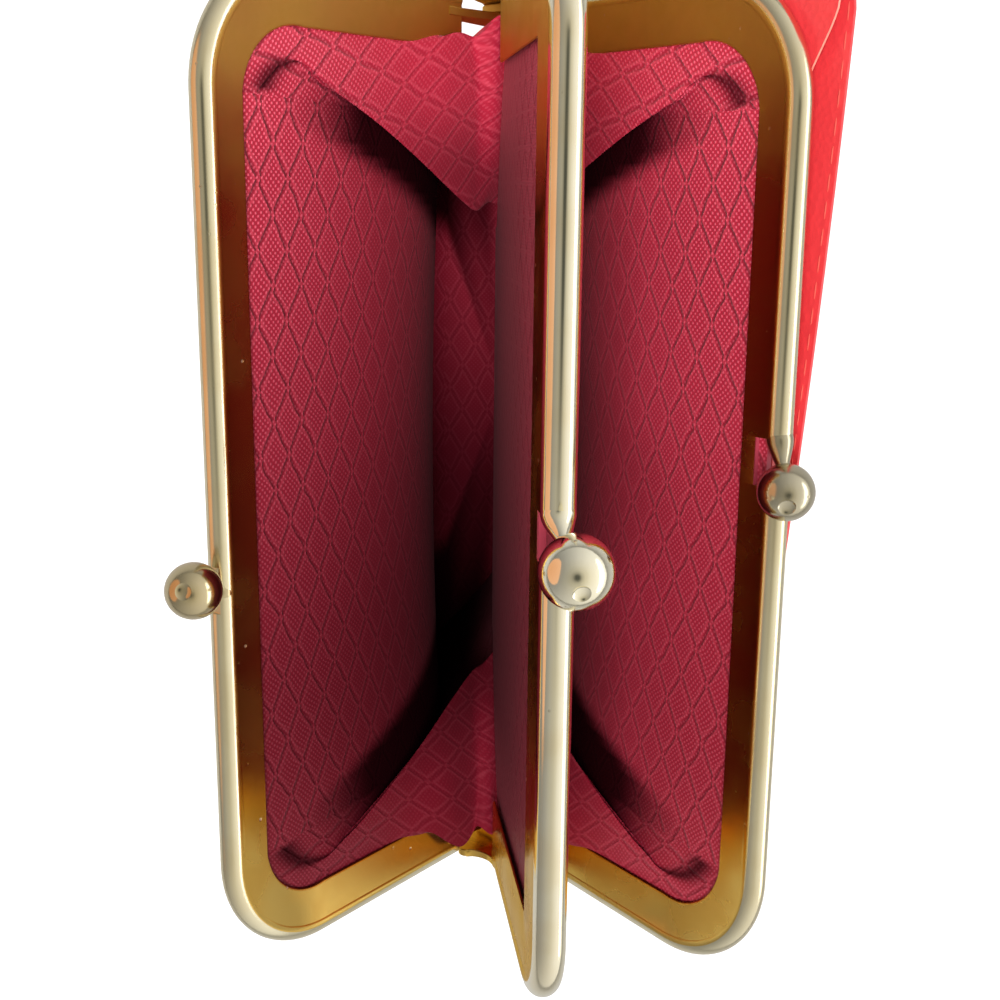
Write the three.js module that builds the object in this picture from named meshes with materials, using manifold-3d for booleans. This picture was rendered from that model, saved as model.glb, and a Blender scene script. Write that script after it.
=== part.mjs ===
// A kiss lock wallet, standing open on its base: three gilt frames on one pair of hinge pins,
// three clasp balls, a red leather body with folded ends, a lining in two compartments,
// a divider on the middle frame and two leather leaves behind the back frame.
// Millimetres, +Z up. X runs along the hinge pins, +Y is the back, the base stands on Z = 0.
import * as THREE from "three";
import { mergeVertices } from "three/addons/utils/BufferGeometryUtils.js";
import Module from "manifold-3d";

const wasm = await Module();
wasm.setup();

const degree = Math.PI / 180;

// Frames: U-shaped channels of thin sheet, open towards the hinge
const frameLength = 100;
const middleLength = 101.6;
const frontReach = 43.7;
const middleReach = 42;
const outerTilt = 38.2 * degree;
const middleTilt = 7.9 * degree;
const cornerRadius = 12.5;
const middleCorner = 9;
const barDepth = 4.9;
const legDepth = 6.3;
const middleBarDepth = 8.3;
const middleLegDepth = 8.6;
const outerThickness = 2.6;
const middleThickness = 3.3;
const sheet = 0.5;
const channelCap = 1.6;
// The back frame sits a little to +X, with the play of its pins
const backShift = 1;
const legEnd = 8.6;
const pivotHeight = 45;

// Hinge: one flat ear per leg, stacked along X, on a riveted pin. The middle frame's ear is
// a wide plate that closes the gap between the legs
const earThickness = 0.9;
const earStart = { front: 46.9, back: 48, middle: 49.1 };
const earHole = 0.95;
const earFoot = 2.4;
const earTop = 10.6;
const earTopHalfWidth = 1.25;
const plateTop = 7.4;
const plateHalfWidth = 4.9;
const plateCorner = 1;
const plateFillet = 3;
const plateTongue = { half: 0.9, top: 13 };
const pinRadius = 0.7;
const pinHeadRadius = 1.5;
const pinHeadCrown = 1.2;
const pinHeadThickness = 0.6;
const pinClearance = 0.15;

// Clasp balls, each on a leaning neck that stands in a notch of its bar. The foot and the
// notch's middle are places along the bar
const notchHalfLength = 2.3;
const notchDepth = 0.95;
const seatGap = 0.12;
const neckFootRadius = 1.05;
const neckTipRadius = 0.7;
const poleFlatRadius = 0.75;
const poleDimple = 0.22;
const balls = {
  front: { radius: 2.7, foot: 8.9, notch: 8.3, x: 7.5, reach: 46.5, inward: 0.8 },
  middle: { radius: 3.35, foot: 0.1, notch: 1.2, x: 2.3, reach: 47.6, inward: -0.4 },
  back: { radius: 2.65, foot: -5.2, notch: -4.6, x: -2.7, reach: 45.8, inward: 2.6 },
};

// Soft body: rows below the hinge, from the base up. Each row gives the drop below the pins,
// half the width, where the panel meets the end gusset, where the gusset's fold reaches in,
// and how far the row follows the floor of an inner layer
const bodyRows = [
  { drop: 45, half: 10.4, seam: 44, fold: 31, floor: 1 },
  { drop: 44.2, half: 11.9, seam: 45.2, fold: 30.4, floor: 1 },
  { drop: 42.2, half: 12.7, seam: 46, fold: 30, floor: 0.7 },
  { drop: 27, half: 13, seam: 46.6, fold: 30, floor: 0 },
  { drop: 13, half: 11.7, seam: 45.4, fold: 30.4, floor: 0 },
  { drop: 3.8, half: 9.9, seam: 43.1, fold: 31, floor: 0 },
];
const panelBow = 0.9;
const gussetHollow = 1.25;
const risingSteps = [0.2, 0.42, 0.62, 0.82];
const gussetFold = 0.85;
const flangeInset = 1.95;
const hingeLip = 0.4;
const lipRise = [9, 13];
const hingeRise = { out: 3, up: 6.4, until: 8 };

// Wall surfaces: how deep each lies in the body, and how far off the frame's middle plane
// it runs where it is skived to enter the channel
const leatherSkin = { inset: 0, offset: 0.72 };
const leatherBack = { inset: 1.3, offset: 0.08 };
const liningBack = { inset: 1.6, offset: -0.08 };
const liningFace = { inset: 2.6, offset: -0.72 };

// Divider: one sheet on the middle frame, bent at the hinge
const dividerThickness = 1.6;
const dividerBend = 8;
const dividerLowerHalf = 24.6;
const dividerFloor = 41.9;
const dividerChamfer = 1.5;
const dividerShoulder = { low: -1.6, high: 7.2 };
const dividerMargin = 0.45;

// Back leaves: two loose leaves of leather behind the back frame, stitched along the base
const leafHalfLength = 48.5;
const leafCorner = 4;
const leafFoot = 4;
const leafFootRound = 0.6;
const leaves = {
  inner: {
    face: { inset: -0.4, offset: 1.65 },
    back: { inset: -1.4, offset: 2.65 },
    edge: (x) => 40.6 + 4.4 * THREE.MathUtils.smoothstep(-x, 36, 47),
  },
  outer: {
    face: { inset: -1.85, offset: 3.1 },
    back: { inset: -3.05, offset: 4.3 },
    edge: (x) => 40.7 - 0.1 * x,
  },
};

const gilt = { color: 0xcdb27a, roughness: 0.22, metalness: 1 };
const paleGilt = { color: 0xd9cfae, roughness: 0.16, metalness: 1 };
const redLeather = { color: 0xc81f2c, roughness: 0.5, metalness: 0 };
const burgundyCloth = { color: 0x8c1a33, roughness: 0.75, metalness: 0 };

const lerp = THREE.MathUtils.lerp;

// A point beside a tilted frame: x along the pins, h out from the pins in the frame's plane,
// n off that plane towards +Y
function besideFrame(tilt, x, h, n) {
  const y = h * Math.sin(tilt) + n * Math.cos(tilt);
  const z = pivotHeight + h * Math.cos(tilt) - n * Math.sin(tilt);
  return new THREE.Vector3(x, y, z);
}

// Closed geometry from points and triangles, turned so that its faces point out
function solid(points, triangles) {
  let volume = 0;
  for (const [a, b, c] of triangles) {
    const cross = new THREE.Vector3().crossVectors(points[b], points[c]);
    volume += points[a].dot(cross);
  }
  const faces = triangles.map(([a, b, c]) => (volume > 0 ? [a, b, c] : [a, c, b]));
  const geometry = new THREE.BufferGeometry().setFromPoints(points);
  geometry.setIndex(faces.flat());
  return geometry;
}

// Two triangles for each cell between neighbouring rows; loops close round the columns
function gridFaces(rows, columns, first, looped, flipped) {
  const faces = [];
  const cells = looped ? columns : columns - 1;
  for (let r = 0; r < rows - 1; r += 1) {
    for (let c = 0; c < cells; c += 1) {
      const d = (c + 1) % columns;
      const corner = [r * columns + c, r * columns + d, (r + 1) * columns + d, (r + 1) * columns + c];
      const [p, q, s, t] = corner.map((index) => index + first);
      faces.push(flipped ? [p, s, q] : [p, q, s]);
      faces.push(flipped ? [p, t, s] : [p, s, t]);
    }
  }
  return faces;
}

// Triangles that fill a flat loop, wound against the loop's own direction
function capFaces(loop, flat, first, flipped) {
  const outline = loop.map(flat);
  const against = THREE.ShapeUtils.area(outline) > 0 ? -1 : 1;
  const wanted = flipped ? -against : against;
  return THREE.ShapeUtils.triangulateShape(outline, []).map(([a, b, c]) => {
    const turn = Math.sign(THREE.ShapeUtils.area([outline[a], outline[b], outline[c]]));
    const face = turn === wanted ? [a, b, c] : [a, c, b];
    return face.map((index) => index + first);
  });
}

// A bag open at the top: an outer and an inner skin of closed rows, joined along the rim
function bagSolid(outer, inner) {
  const rows = outer.length;
  const columns = outer[0].length;
  const half = rows * columns;
  const flat = (point) => new THREE.Vector2(point.x, point.y);
  const faces = [
    ...gridFaces(rows, columns, 0, true, false),
    ...gridFaces(rows, columns, half, true, true),
    ...capFaces(outer[0], flat, 0, false),
    ...capFaces(inner[0], flat, half, true),
  ];
  const rim = (rows - 1) * columns;
  for (let c = 0; c < columns; c += 1) {
    const d = (c + 1) % columns;
    faces.push([rim + c, rim + d, half + rim + d]);
    faces.push([rim + c, half + rim + d, half + rim + c]);
  }
  return solid([...outer.flat(), ...inner.flat()], faces);
}

// A sheet with a face, a back and an edge all round
function sheetSolid(face, back) {
  const rows = face.length;
  const columns = face[0].length;
  const half = rows * columns;
  const faces = [
    ...gridFaces(rows, columns, 0, false, false),
    ...gridFaces(rows, columns, half, false, true),
  ];
  const last = (rows - 1) * columns;
  const across = [...Array(columns - 1).keys()];
  const upright = [...Array(rows - 1).keys()];
  const border = [
    ...across,
    ...upright.map((r) => r * columns + columns - 1),
    ...across.map((c) => last + columns - 1 - c),
    ...upright.map((r) => last - r * columns),
  ];
  border.forEach((a, index) => {
    const b = border[(index + 1) % border.length];
    faces.push([b, a, half + a]);
    faces.push([b, half + a, half + b]);
  });
  return solid([...face.flat(), ...back.flat()], faces);
}

// A bar with one closed section carried through a row of stations
function sweptSolid(loops, section) {
  const columns = section.length;
  const last = (loops.length - 1) * columns;
  const flat = (point) => new THREE.Vector2(point[0], point[1]);
  const faces = [
    ...gridFaces(loops.length, columns, 0, true, false),
    ...capFaces(section, flat, 0, false),
    ...capFaces(section, flat, last, true),
  ];
  return solid(loops.flat(), faces);
}

// Joining and cutting of closed geometries
function toManifold(geometry) {
  const bare = geometry.clone();
  bare.deleteAttribute("normal");
  bare.deleteAttribute("uv");
  const merged = mergeVertices(bare, 1e-5);
  const vertProperties = new Float32Array(merged.attributes.position.array);
  const triVerts = new Uint32Array(merged.index.array);
  return new wasm.Manifold(new wasm.Mesh({ numProp: 3, vertProperties, triVerts }));
}

function fromManifold(body) {
  const mesh = body.getMesh();
  const geometry = new THREE.BufferGeometry();
  geometry.setAttribute("position", new THREE.BufferAttribute(mesh.vertProperties, 3));
  geometry.setIndex(new THREE.BufferAttribute(mesh.triVerts, 1));
  return geometry;
}

function namedMesh(name, geometry, finish) {
  const mesh = new THREE.Mesh(geometry, new THREE.MeshStandardMaterial(finish));
  mesh.name = name;
  return mesh;
}

// Stations along a frame's U: up one leg, round the corner, along the bar and down again
function frameStations({ length, reach, bar, leg, corner }) {
  const straight = reach - corner;
  const centre = length / 2 - corner;
  const steps = 6;
  const stations = [{ x: -length / 2, h: legEnd, inX: 1, inH: 0, depth: leg }];
  for (const side of [-1, 1]) {
    for (let step = 0; step <= steps; step += 1) {
      const share = side < 0 ? step / steps : 1 - step / steps;
      const angle = (share * Math.PI) / 2;
      stations.push({
        x: side * (centre + corner * Math.cos(angle)),
        h: straight + corner * Math.sin(angle),
        inX: -side * Math.cos(angle),
        inH: -Math.sin(angle),
        depth: lerp(leg, bar, share),
      });
    }
  }
  stations.push({ x: length / 2, h: legEnd, inX: -1, inH: 0, depth: leg });
  return stations;
}

// The channel's section: share of the depth below the cap, inset from the outside, and offset
function channelSection(thickness) {
  const half = thickness / 2;
  const slot = half - sheet;
  const steps = 8;
  const section = [{ lip: 1, inset: 0, off: -half }];
  for (let step = 0; step <= steps; step += 1) {
    const angle = (step / steps) * Math.PI;
    section.push({ lip: 0, inset: half - half * Math.sin(angle), off: -half * Math.cos(angle) });
  }
  section.push({ lip: 1, inset: 0, off: half });
  section.push({ lip: 1, inset: 0, off: slot });
  section.push({ lip: 0, inset: channelCap, off: slot });
  section.push({ lip: 0, inset: channelCap, off: -slot });
  section.push({ lip: 1, inset: 0, off: -slot });
  return section;
}

function channelGeometry(frame) {
  const section = channelSection(frame.thickness);
  const loops = frameStations(frame).map((at) =>
    section.map(({ lip, inset, off }) => {
      const depth = lip ? at.depth : inset;
      const x = at.x + frame.shift + at.inX * depth;
      return besideFrame(frame.tilt, x, at.h + at.inH * depth, off);
    }),
  );
  const outline = section.map(({ lip, inset, off }) => [lip ? frame.leg : inset, off]);
  return sweptSolid(loops, outline);
}

// The outline of an outer frame's ear: a round foot about the pin, tapered up to the leg
function earOutline() {
  const outline = new THREE.Shape();
  outline.absarc(0, 0, earFoot, Math.PI, 2 * Math.PI, false);
  outline.lineTo(earTopHalfWidth, legEnd);
  outline.lineTo(earTopHalfWidth, earTop);
  outline.lineTo(-earTopHalfWidth, earTop);
  outline.lineTo(-earTopHalfWidth, legEnd);
  outline.closePath();
  return outline;
}

// The outline of the middle frame's plate: wide shoulders that run into the leg in a fillet
function plateOutline() {
  const leg = middleThickness / 2;
  const filletX = leg + plateFillet;
  const filletY = plateTop + plateFillet;
  const cornerX = plateHalfWidth - plateCorner;
  const cornerY = plateTop - plateCorner;
  const outline = new THREE.Shape();
  outline.absarc(0, 0, earFoot, Math.PI, 2 * Math.PI, false);
  outline.lineTo(plateHalfWidth, cornerY);
  outline.absarc(cornerX, cornerY, plateCorner, 0, Math.PI / 2, false);
  outline.absarc(filletX, filletY, plateFillet, 1.5 * Math.PI, Math.PI, true);
  outline.lineTo(plateTongue.half, plateTongue.top);
  outline.lineTo(-plateTongue.half, plateTongue.top);
  outline.absarc(-filletX, filletY, plateFillet, 0, -Math.PI / 2, true);
  outline.absarc(-cornerX, cornerY, plateCorner, Math.PI / 2, Math.PI, false);
  outline.closePath();
  return outline;
}

// A flat ear cut to its outline, standing square to the pins, with the hole for its pin
function earGeometry(tilt, outline, side, start) {
  const hole = new THREE.Path();
  hole.absarc(0, 0, earHole, 0, 2 * Math.PI, true);
  outline.holes.push(hole);
  const plate = new THREE.ExtrudeGeometry(outline, {
    depth: earThickness,
    bevelEnabled: false,
    curveSegments: 10,
  });
  const alongX = new THREE.Matrix4().makeBasis(
    new THREE.Vector3(0, 1, 0),
    new THREE.Vector3(0, 0, 1),
    new THREE.Vector3(1, 0, 0),
  );
  plate.applyMatrix4(alongX);
  plate.translate(side > 0 ? start : -start - earThickness, 0, 0);
  plate.rotateX(-tilt);
  plate.translate(0, 0, pivotHeight);
  return plate;
}

// The notch that a clasp ball's neck stands in
function notchGeometry(frame, along) {
  const block = new THREE.BoxGeometry(2 * notchHalfLength, frame.thickness + 2, 2 * notchDepth);
  block.translate(along, 0, frame.reach);
  block.rotateX(-frame.tilt);
  block.translate(0, 0, pivotHeight);
  return block;
}

function frameMesh(name, frame) {
  let body = toManifold(channelGeometry(frame));
  for (const side of [-1, 1]) {
    body = body.add(toManifold(earGeometry(frame.tilt, frame.ear(), side, frame.earStart)));
  }
  body = body.subtract(toManifold(notchGeometry(frame, frame.ball.notch)));
  return namedMesh(name, fromManifold(body), gilt);
}

// A clasp ball turned about its leaning neck, with a small dimpled flat at its pole
function ballMesh(name, { tilt, reach, ball }) {
  const inwardSign = tilt > 0 ? -1 : 1;
  const foot = besideFrame(tilt, ball.foot, reach - notchDepth + seatGap, 0);
  const centre = besideFrame(tilt, ball.x, ball.reach, inwardSign * ball.inward);
  const axis = new THREE.Vector3().subVectors(centre, foot);
  const length = axis.length();
  axis.normalize();
  const steps = 9;
  const from = Math.asin(neckTipRadius / ball.radius);
  const to = Math.PI - Math.asin(poleFlatRadius / ball.radius);
  // The foot is raised along the leaning neck until its lowest rim clears the notch's floor
  const outward = new THREE.Vector3(0, Math.sin(tilt), Math.cos(tilt));
  const lift = neckFootRadius * Math.tan(axis.angleTo(outward));
  const profile = [new THREE.Vector2(0, lift), new THREE.Vector2(neckFootRadius, lift)];
  for (let step = 0; step <= steps; step += 1) {
    const angle = lerp(from, to, step / steps);
    const along = length - ball.radius * Math.cos(angle);
    profile.push(new THREE.Vector2(ball.radius * Math.sin(angle), along));
  }
  const pole = length + ball.radius * Math.cos(Math.PI - to);
  profile.push(new THREE.Vector2(0, pole - poleDimple));
  const geometry = new THREE.LatheGeometry(profile, 16);
  const upright = new THREE.Vector3(0, 1, 0);
  geometry.applyQuaternion(new THREE.Quaternion().setFromUnitVectors(upright, axis));
  geometry.translate(foot.x, foot.y, foot.z);
  return namedMesh(name, fromManifold(toManifold(geometry)), paleGilt);
}

// A rivet through the three ears of one end, headed on both sides
function rivetMesh(name, side) {
  const inside = earStart.front - pinClearance;
  const outside = earStart.middle + earThickness + pinClearance;
  const profile = [
    new THREE.Vector2(0, inside - pinHeadThickness),
    new THREE.Vector2(pinHeadCrown, inside - pinHeadThickness),
    new THREE.Vector2(pinHeadRadius, inside),
    new THREE.Vector2(pinRadius, inside),
    new THREE.Vector2(pinRadius, outside),
    new THREE.Vector2(pinHeadRadius, outside),
    new THREE.Vector2(pinHeadCrown, outside + pinHeadThickness),
    new THREE.Vector2(0, outside + pinHeadThickness),
  ];
  const geometry = new THREE.LatheGeometry(profile, 14);
  geometry.rotateZ((-side * Math.PI) / 2);
  geometry.translate(0, 0, pivotHeight);
  return namedMesh(name, fromManifold(toManifold(geometry)), gilt);
}

// One row below the hinge, drawn in to the depth of a layer
function insetRow(row, inset) {
  const corner = Math.atan2(row.half, row.seam - row.fold);
  return {
    z: pivotHeight - row.drop + inset * row.floor,
    half: row.half - inset,
    seam: row.seam - (inset * (1 + Math.cos(corner))) / Math.sin(corner),
    fold: row.fold - inset / Math.sin(corner),
  };
}

// The rim's columns over one end's quarter, from the hinge to the middle of the bar
const legShares = [0, 0.13, 0.26, 0.42, 0.63, 0.82];
const seamAngle = 67.5;
const gussetAngles = [0, 22.5, 45, seamAngle];
const panelAngles = [90];
const barPlaces = [32, 19, 6.5];

function rimPoint(column, legInset, barInset, hingeH) {
  const straight = frontReach - cornerRadius;
  if (column.kind === "leg") {
    const h = lerp(hingeH, straight, column.share);
    return { x: frameLength / 2 - legInset, h };
  }
  if (column.kind === "corner") {
    const angle = column.angle * degree;
    const radius = cornerRadius - lerp(legInset, barInset, column.angle / 90);
    const x = frameLength / 2 - cornerRadius + radius * Math.cos(angle);
    return { x, h: straight + radius * Math.sin(angle) };
  }
  return { x: column.x, h: frontReach - barInset };
}

const quarterColumns = [
  ...legShares.map((share) => ({ kind: "leg", share, gusset: true })),
  ...gussetAngles.map((angle) => ({ kind: "corner", angle, gusset: true })),
  ...panelAngles.map((angle) => ({ kind: "corner", angle, gusset: false })),
  ...barPlaces.map((x) => ({ kind: "bar", x, gusset: false })),
];
const seamColumn = legShares.length + gussetAngles.length - 1;

// How far a gusset column lies from the seam, 0, to the fold over the hinge, 1
function foldShare(column) {
  const cornerShare = 0.08;
  if (column.kind === "corner") return cornerShare * (1 - column.angle / seamAngle);
  return cornerShare + (1 - cornerShare) * (1 - column.share);
}

// One column of a wall surface, from the base row to the rim inside the channel.
// Worked out for the back half at the +X end, with the frame's shift; the other quarters mirror it
function wallColumn(column, layer, shift) {
  const rows = bodyRows.map((row) => insetRow(row, layer.inset));
  const hingeH = (-layer.offset * Math.cos(outerTilt)) / Math.sin(outerTilt);
  const onRim = (legInset, barInset, which) => {
    const { x, h } = rimPoint(which, legInset, barInset, hingeH);
    const point = besideFrame(outerTilt, x, h, layer.offset);
    // Over the hinge the rim rises and bows out to the ears
    const rise = 1 - THREE.MathUtils.smoothstep(h, hingeH, hingeRise.until);
    return point.add(new THREE.Vector3(lerp(shift, hingeRise.out, rise), 0, hingeRise.up * rise));
  };
  const mouthAt = (which) => onRim(legDepth, barDepth, which);
  const seamMouth = mouthAt(quarterColumns[seamColumn]);
  const top = rows[rows.length - 1];
  const mouth = mouthAt(column);
  const across = column.gusset ? foldShare(column) : 0;
  const along = column.gusset ? 1 : mouth.x / seamMouth.x;

  const lowPoint = (row) => new THREE.Vector3(
    lerp(row.seam * along, row.fold, across),
    (row.half + panelBow * (1 - along ** 2)) * (1 - across) ** gussetHollow,
    row.z,
  );
  // The panel leaves the body upright and swings into the plane of the frame
  const panelRise = (from, to, t) => {
    const bendH = from.y / Math.sin(outerTilt);
    const bend = besideFrame(outerTilt, (from.x + to.x) / 2, bendH, layer.offset);
    return new THREE.QuadraticBezierCurve3(from, bend, to).getPoint(t);
  };
  const points = rows.map(lowPoint);
  const low = points[points.length - 1];
  const seamLow = new THREE.Vector3(top.seam, top.half, top.z);
  const foldLow = new THREE.Vector3(top.fold, 0, top.z);
  const foldMouth = mouthAt(quarterColumns[0]);
  for (const t of risingSteps) {
    if (!column.gusset) {
      points.push(panelRise(low, mouth, t));
      continue;
    }
    // A patch between seam, fold, leg and body, creased from the frame's corner to the fold
    const straightUp = low.clone().lerp(mouth, t);
    const seam = panelRise(seamLow, seamMouth, t);
    const seamChord = seamLow.clone().lerp(seamMouth, t);
    const patch = straightUp.addScaledVector(seam.sub(seamChord), 1 - across);
    const crease = seamMouth.clone().add(foldLow).sub(seamLow).sub(foldMouth);
    const raise = gussetFold * Math.min(across * t, (1 - across) * (1 - t));
    points.push(patch.addScaledVector(crease, raise));
  }
  points.push(mouth);
  const { h } = rimPoint(column, legDepth, barDepth, hingeH);
  const grip = column.kind === "leg" ? THREE.MathUtils.smoothstep(h, lipRise[0], lipRise[1]) : 1;
  const legInset = lerp(legDepth - hingeLip, flangeInset, grip);
  points.push(onRim(legInset, flangeInset, column));
  return points;
}

// All columns round a wall surface, given back as closed rows
function wallRows(layer) {
  const quarter = (shift) => quarterColumns.map((column) => wallColumn(column, layer, shift));
  const fromBar = (columns) => columns.slice(1).reverse();
  const mirrored = (columns, signX, signY) => columns.map((points) =>
    points.map((p) => new THREE.Vector3(p.x * signX, p.y * signY, p.z)));
  const columns = [
    ...mirrored(quarter(backShift), 1, 1),
    ...mirrored(fromBar(quarter(-backShift)), -1, 1),
    ...mirrored(quarter(0), -1, -1),
    ...mirrored(fromBar(quarter(0)), 1, -1),
  ];
  return columns[0].map((_, row) => columns.map((points) => points[row]));
}

function dividerMesh() {
  const straight = middleReach - middleCorner;
  const slotReach = frameLength / 2 - flangeInset;
  const openReach = frameLength / 2 - legDepth - dividerMargin;
  const rows = [
    { h: -dividerFloor, reach: dividerLowerHalf - dividerChamfer },
    { h: -dividerFloor + dividerChamfer, reach: dividerLowerHalf },
    { h: -dividerBend, reach: dividerLowerHalf },
    { h: dividerShoulder.low, reach: dividerLowerHalf },
    { h: (dividerShoulder.low + dividerShoulder.high) / 2, reach: (dividerLowerHalf + openReach) / 2 },
    { h: dividerShoulder.high, reach: openReach },
    { h: lipRise[0], reach: openReach },
    { h: lipRise[1], reach: slotReach },
    { h: (lipRise[1] + straight) / 2, reach: slotReach },
  ];
  const steps = 6;
  const round = middleCorner - flangeInset;
  for (let step = 0; step <= steps; step += 1) {
    const angle = ((step / steps) * Math.PI) / 2;
    const reach = frameLength / 2 - middleCorner + round * Math.cos(angle);
    rows.push({ h: straight + round * Math.sin(angle), reach });
  }
  const lean = Math.sin(middleTilt);
  const bentY = (h) => {
    const eased = Math.max(h + dividerBend, 0) ** 2 / (4 * dividerBend);
    return lean * (h > dividerBend ? h : eased);
  };
  const surface = (off) => rows.map(({ h, reach }) => {
    const z = pivotHeight + (h > 0 ? h * Math.cos(middleTilt) : h);
    const y = bentY(h) + off * Math.cos(middleTilt);
    return [-1, -0.5, 0, 0.5, 1].map((share) => new THREE.Vector3(share * reach, y, z));
  });
  const half = dividerThickness / 2;
  return namedMesh("divider", sheetSolid(surface(half), surface(-half)), burgundyCloth);
}

// The back's upright profile at one layer, from the base to past the bar: points of Y and Z
function backProfile(layer) {
  const rows = bodyRows.map((row) => insetRow(row, layer.inset));
  const profile = rows.slice(1).map((row) => new THREE.Vector2(row.half, row.z));
  const flat = (point) => new THREE.Vector2(point.y, point.z);
  const from = profile[profile.length - 1];
  const bend = flat(besideFrame(outerTilt, 0, from.x / Math.sin(outerTilt), layer.offset));
  const mouth = flat(besideFrame(outerTilt, 0, frontReach - barDepth, layer.offset));
  const rise = new THREE.QuadraticBezierCurve(from, bend, mouth);
  for (const t of [...risingSteps, 1]) profile.push(rise.getPoint(t));
  profile.push(flat(besideFrame(outerTilt, 0, frontReach + 2 * barDepth, layer.offset)));
  const lengths = [0];
  for (let i = 1; i < profile.length; i += 1) {
    lengths.push(lengths[i - 1] + profile[i].distanceTo(profile[i - 1]));
  }
  const at = (length) => {
    let i = 1;
    while (i < profile.length - 1 && lengths[i] < length) i += 1;
    const share = (length - lengths[i - 1]) / (lengths[i] - lengths[i - 1]);
    return profile[i - 1].clone().lerp(profile[i], share);
  };
  return { at, mouthLength: lengths[lengths.length - 2] };
}

function leafMesh(name, leaf) {
  const shares = [-1, -0.97, -0.91, -0.83, -0.66, -0.4, 0, 0.4, 0.66, 0.83, 0.91, 0.97, 1];
  const steps = 12;
  const cornerDrop = (x) => {
    const past = Math.max(Math.abs(x) - leafHalfLength + leafCorner, 0);
    return leafCorner - Math.sqrt(leafCorner ** 2 - past ** 2);
  };
  const surface = (layer) => {
    const { at, mouthLength } = backProfile(layer);
    const rows = [];
    for (let step = 0; step <= steps; step += 1) {
      rows.push(shares.map((share) => {
        const x = share * leafHalfLength;
        const bottom = leafFoot + leafFootRound * cornerDrop(x);
        const top = mouthLength + leaf.edge(x) - frontReach + barDepth - cornerDrop(x);
        const point = at(lerp(bottom, top, step / steps));
        return new THREE.Vector3(x, point.x + panelBow * (1 - share ** 2), point.y);
      }));
    }
    return rows;
  };
  return namedMesh(name, sheetSolid(surface(leaf.back), surface(leaf.face)), redLeather);
}

const outer = {
  shift: 0,
  length: frameLength,
  corner: cornerRadius,
  reach: frontReach,
  thickness: outerThickness,
  bar: barDepth,
  leg: legDepth,
  ear: earOutline,
};
const frames = {
  front: { ...outer, tilt: -outerTilt, earStart: earStart.front, ball: balls.front },
  middle: {
    tilt: middleTilt,
    shift: 0,
    length: middleLength,
    corner: middleCorner,
    reach: middleReach,
    thickness: middleThickness,
    bar: middleBarDepth,
    leg: middleLegDepth,
    ear: plateOutline,
    earStart: earStart.middle,
    ball: balls.middle,
  },
  back: { ...outer, tilt: outerTilt, shift: backShift, earStart: earStart.back, ball: balls.back },
};

const wallet = new THREE.Group();
wallet.name = "kiss_lock_wallet";
wallet.add(
  frameMesh("frame_front", frames.front),
  frameMesh("frame_middle", frames.middle),
  frameMesh("frame_back", frames.back),
  ballMesh("clasp_ball_front", frames.front),
  ballMesh("clasp_ball_middle", frames.middle),
  ballMesh("clasp_ball_back", frames.back),
  rivetMesh("hinge_rivet_a", -1),
  rivetMesh("hinge_rivet_b", 1),
  namedMesh("leather_body", bagSolid(wallRows(leatherSkin), wallRows(leatherBack)), redLeather),
  namedMesh("lining", bagSolid(wallRows(liningBack), wallRows(liningFace)), burgundyCloth),
  dividerMesh(),
  leafMesh("back_leaf_inner", leaves.inner),
  leafMesh("back_leaf_outer", leaves.outer),
);

export default wallet;
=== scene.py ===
"""Looks of a kiss lock wallet that stands open: gilt frames, clasp balls, burgundy lining, red leather."""
import math

import bmesh
import bpy
import numpy as np
from mathutils import Matrix, Vector


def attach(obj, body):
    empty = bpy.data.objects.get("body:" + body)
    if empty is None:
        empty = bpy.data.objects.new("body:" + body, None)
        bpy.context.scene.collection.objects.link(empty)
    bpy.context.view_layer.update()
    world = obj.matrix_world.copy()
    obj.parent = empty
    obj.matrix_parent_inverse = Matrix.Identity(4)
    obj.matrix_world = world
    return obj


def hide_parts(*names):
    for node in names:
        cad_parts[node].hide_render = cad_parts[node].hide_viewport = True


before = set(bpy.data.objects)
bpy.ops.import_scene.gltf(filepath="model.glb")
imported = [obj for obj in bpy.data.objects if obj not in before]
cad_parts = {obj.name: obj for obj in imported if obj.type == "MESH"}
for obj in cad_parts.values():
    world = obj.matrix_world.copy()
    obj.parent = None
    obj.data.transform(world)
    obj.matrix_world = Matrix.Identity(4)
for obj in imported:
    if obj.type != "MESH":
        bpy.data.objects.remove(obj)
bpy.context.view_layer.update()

# Sizes in millimetres, as in the solids. X runs along the hinge pins, +Y is the back, +Z is up
MM = 0.001
FRAME_LENGTH = 100.0
MIDDLE_LENGTH = 101.6
OUTER_REACH = 43.7
MIDDLE_REACH = 42.0
OUTER_TILT = math.radians(38.2)
MIDDLE_TILT = math.radians(7.9)
CORNER_RADIUS = 12.5
MIDDLE_CORNER = 9.0
BAR_DEPTH = 4.9
LEG_DEPTH = 6.3
MIDDLE_BAR_DEPTH = 8.3
MIDDLE_LEG_DEPTH = 8.6
OUTER_HALF = 1.3
MIDDLE_HALF = 1.65
SHEET = 0.5
EDGE_ROUND = 0.1
BEAD_STEP = 0.14
BEAD_START = math.radians(-24)
CHANNEL_CAP = 1.6
LEG_END = 8.6
PIVOT = 45.0
BACK_SHIFT = 1.0
NOTCH_HALF = 2.3
BAR_END = FRAME_LENGTH / 2 - CORNER_RADIUS

EAR_THICKNESS = 0.9
EAR_FOOT = 2.4
EAR_TOP = 10.6
EAR_TOP_HALF = 1.25
PLATE_TOP = 7.4
PLATE_HALF = 5.4
PLATE_CORNER = 1.0
PLATE_FILLET = 3.0
PLATE_TONGUE = (0.9, 13.0)
PIN_RADIUS = 0.7
PIN_HEAD = 1.5
PIN_HEAD_RISE = 0.6
PIN_INSIDE = 46.75
PIN_OUTSIDE = 50.15

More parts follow.
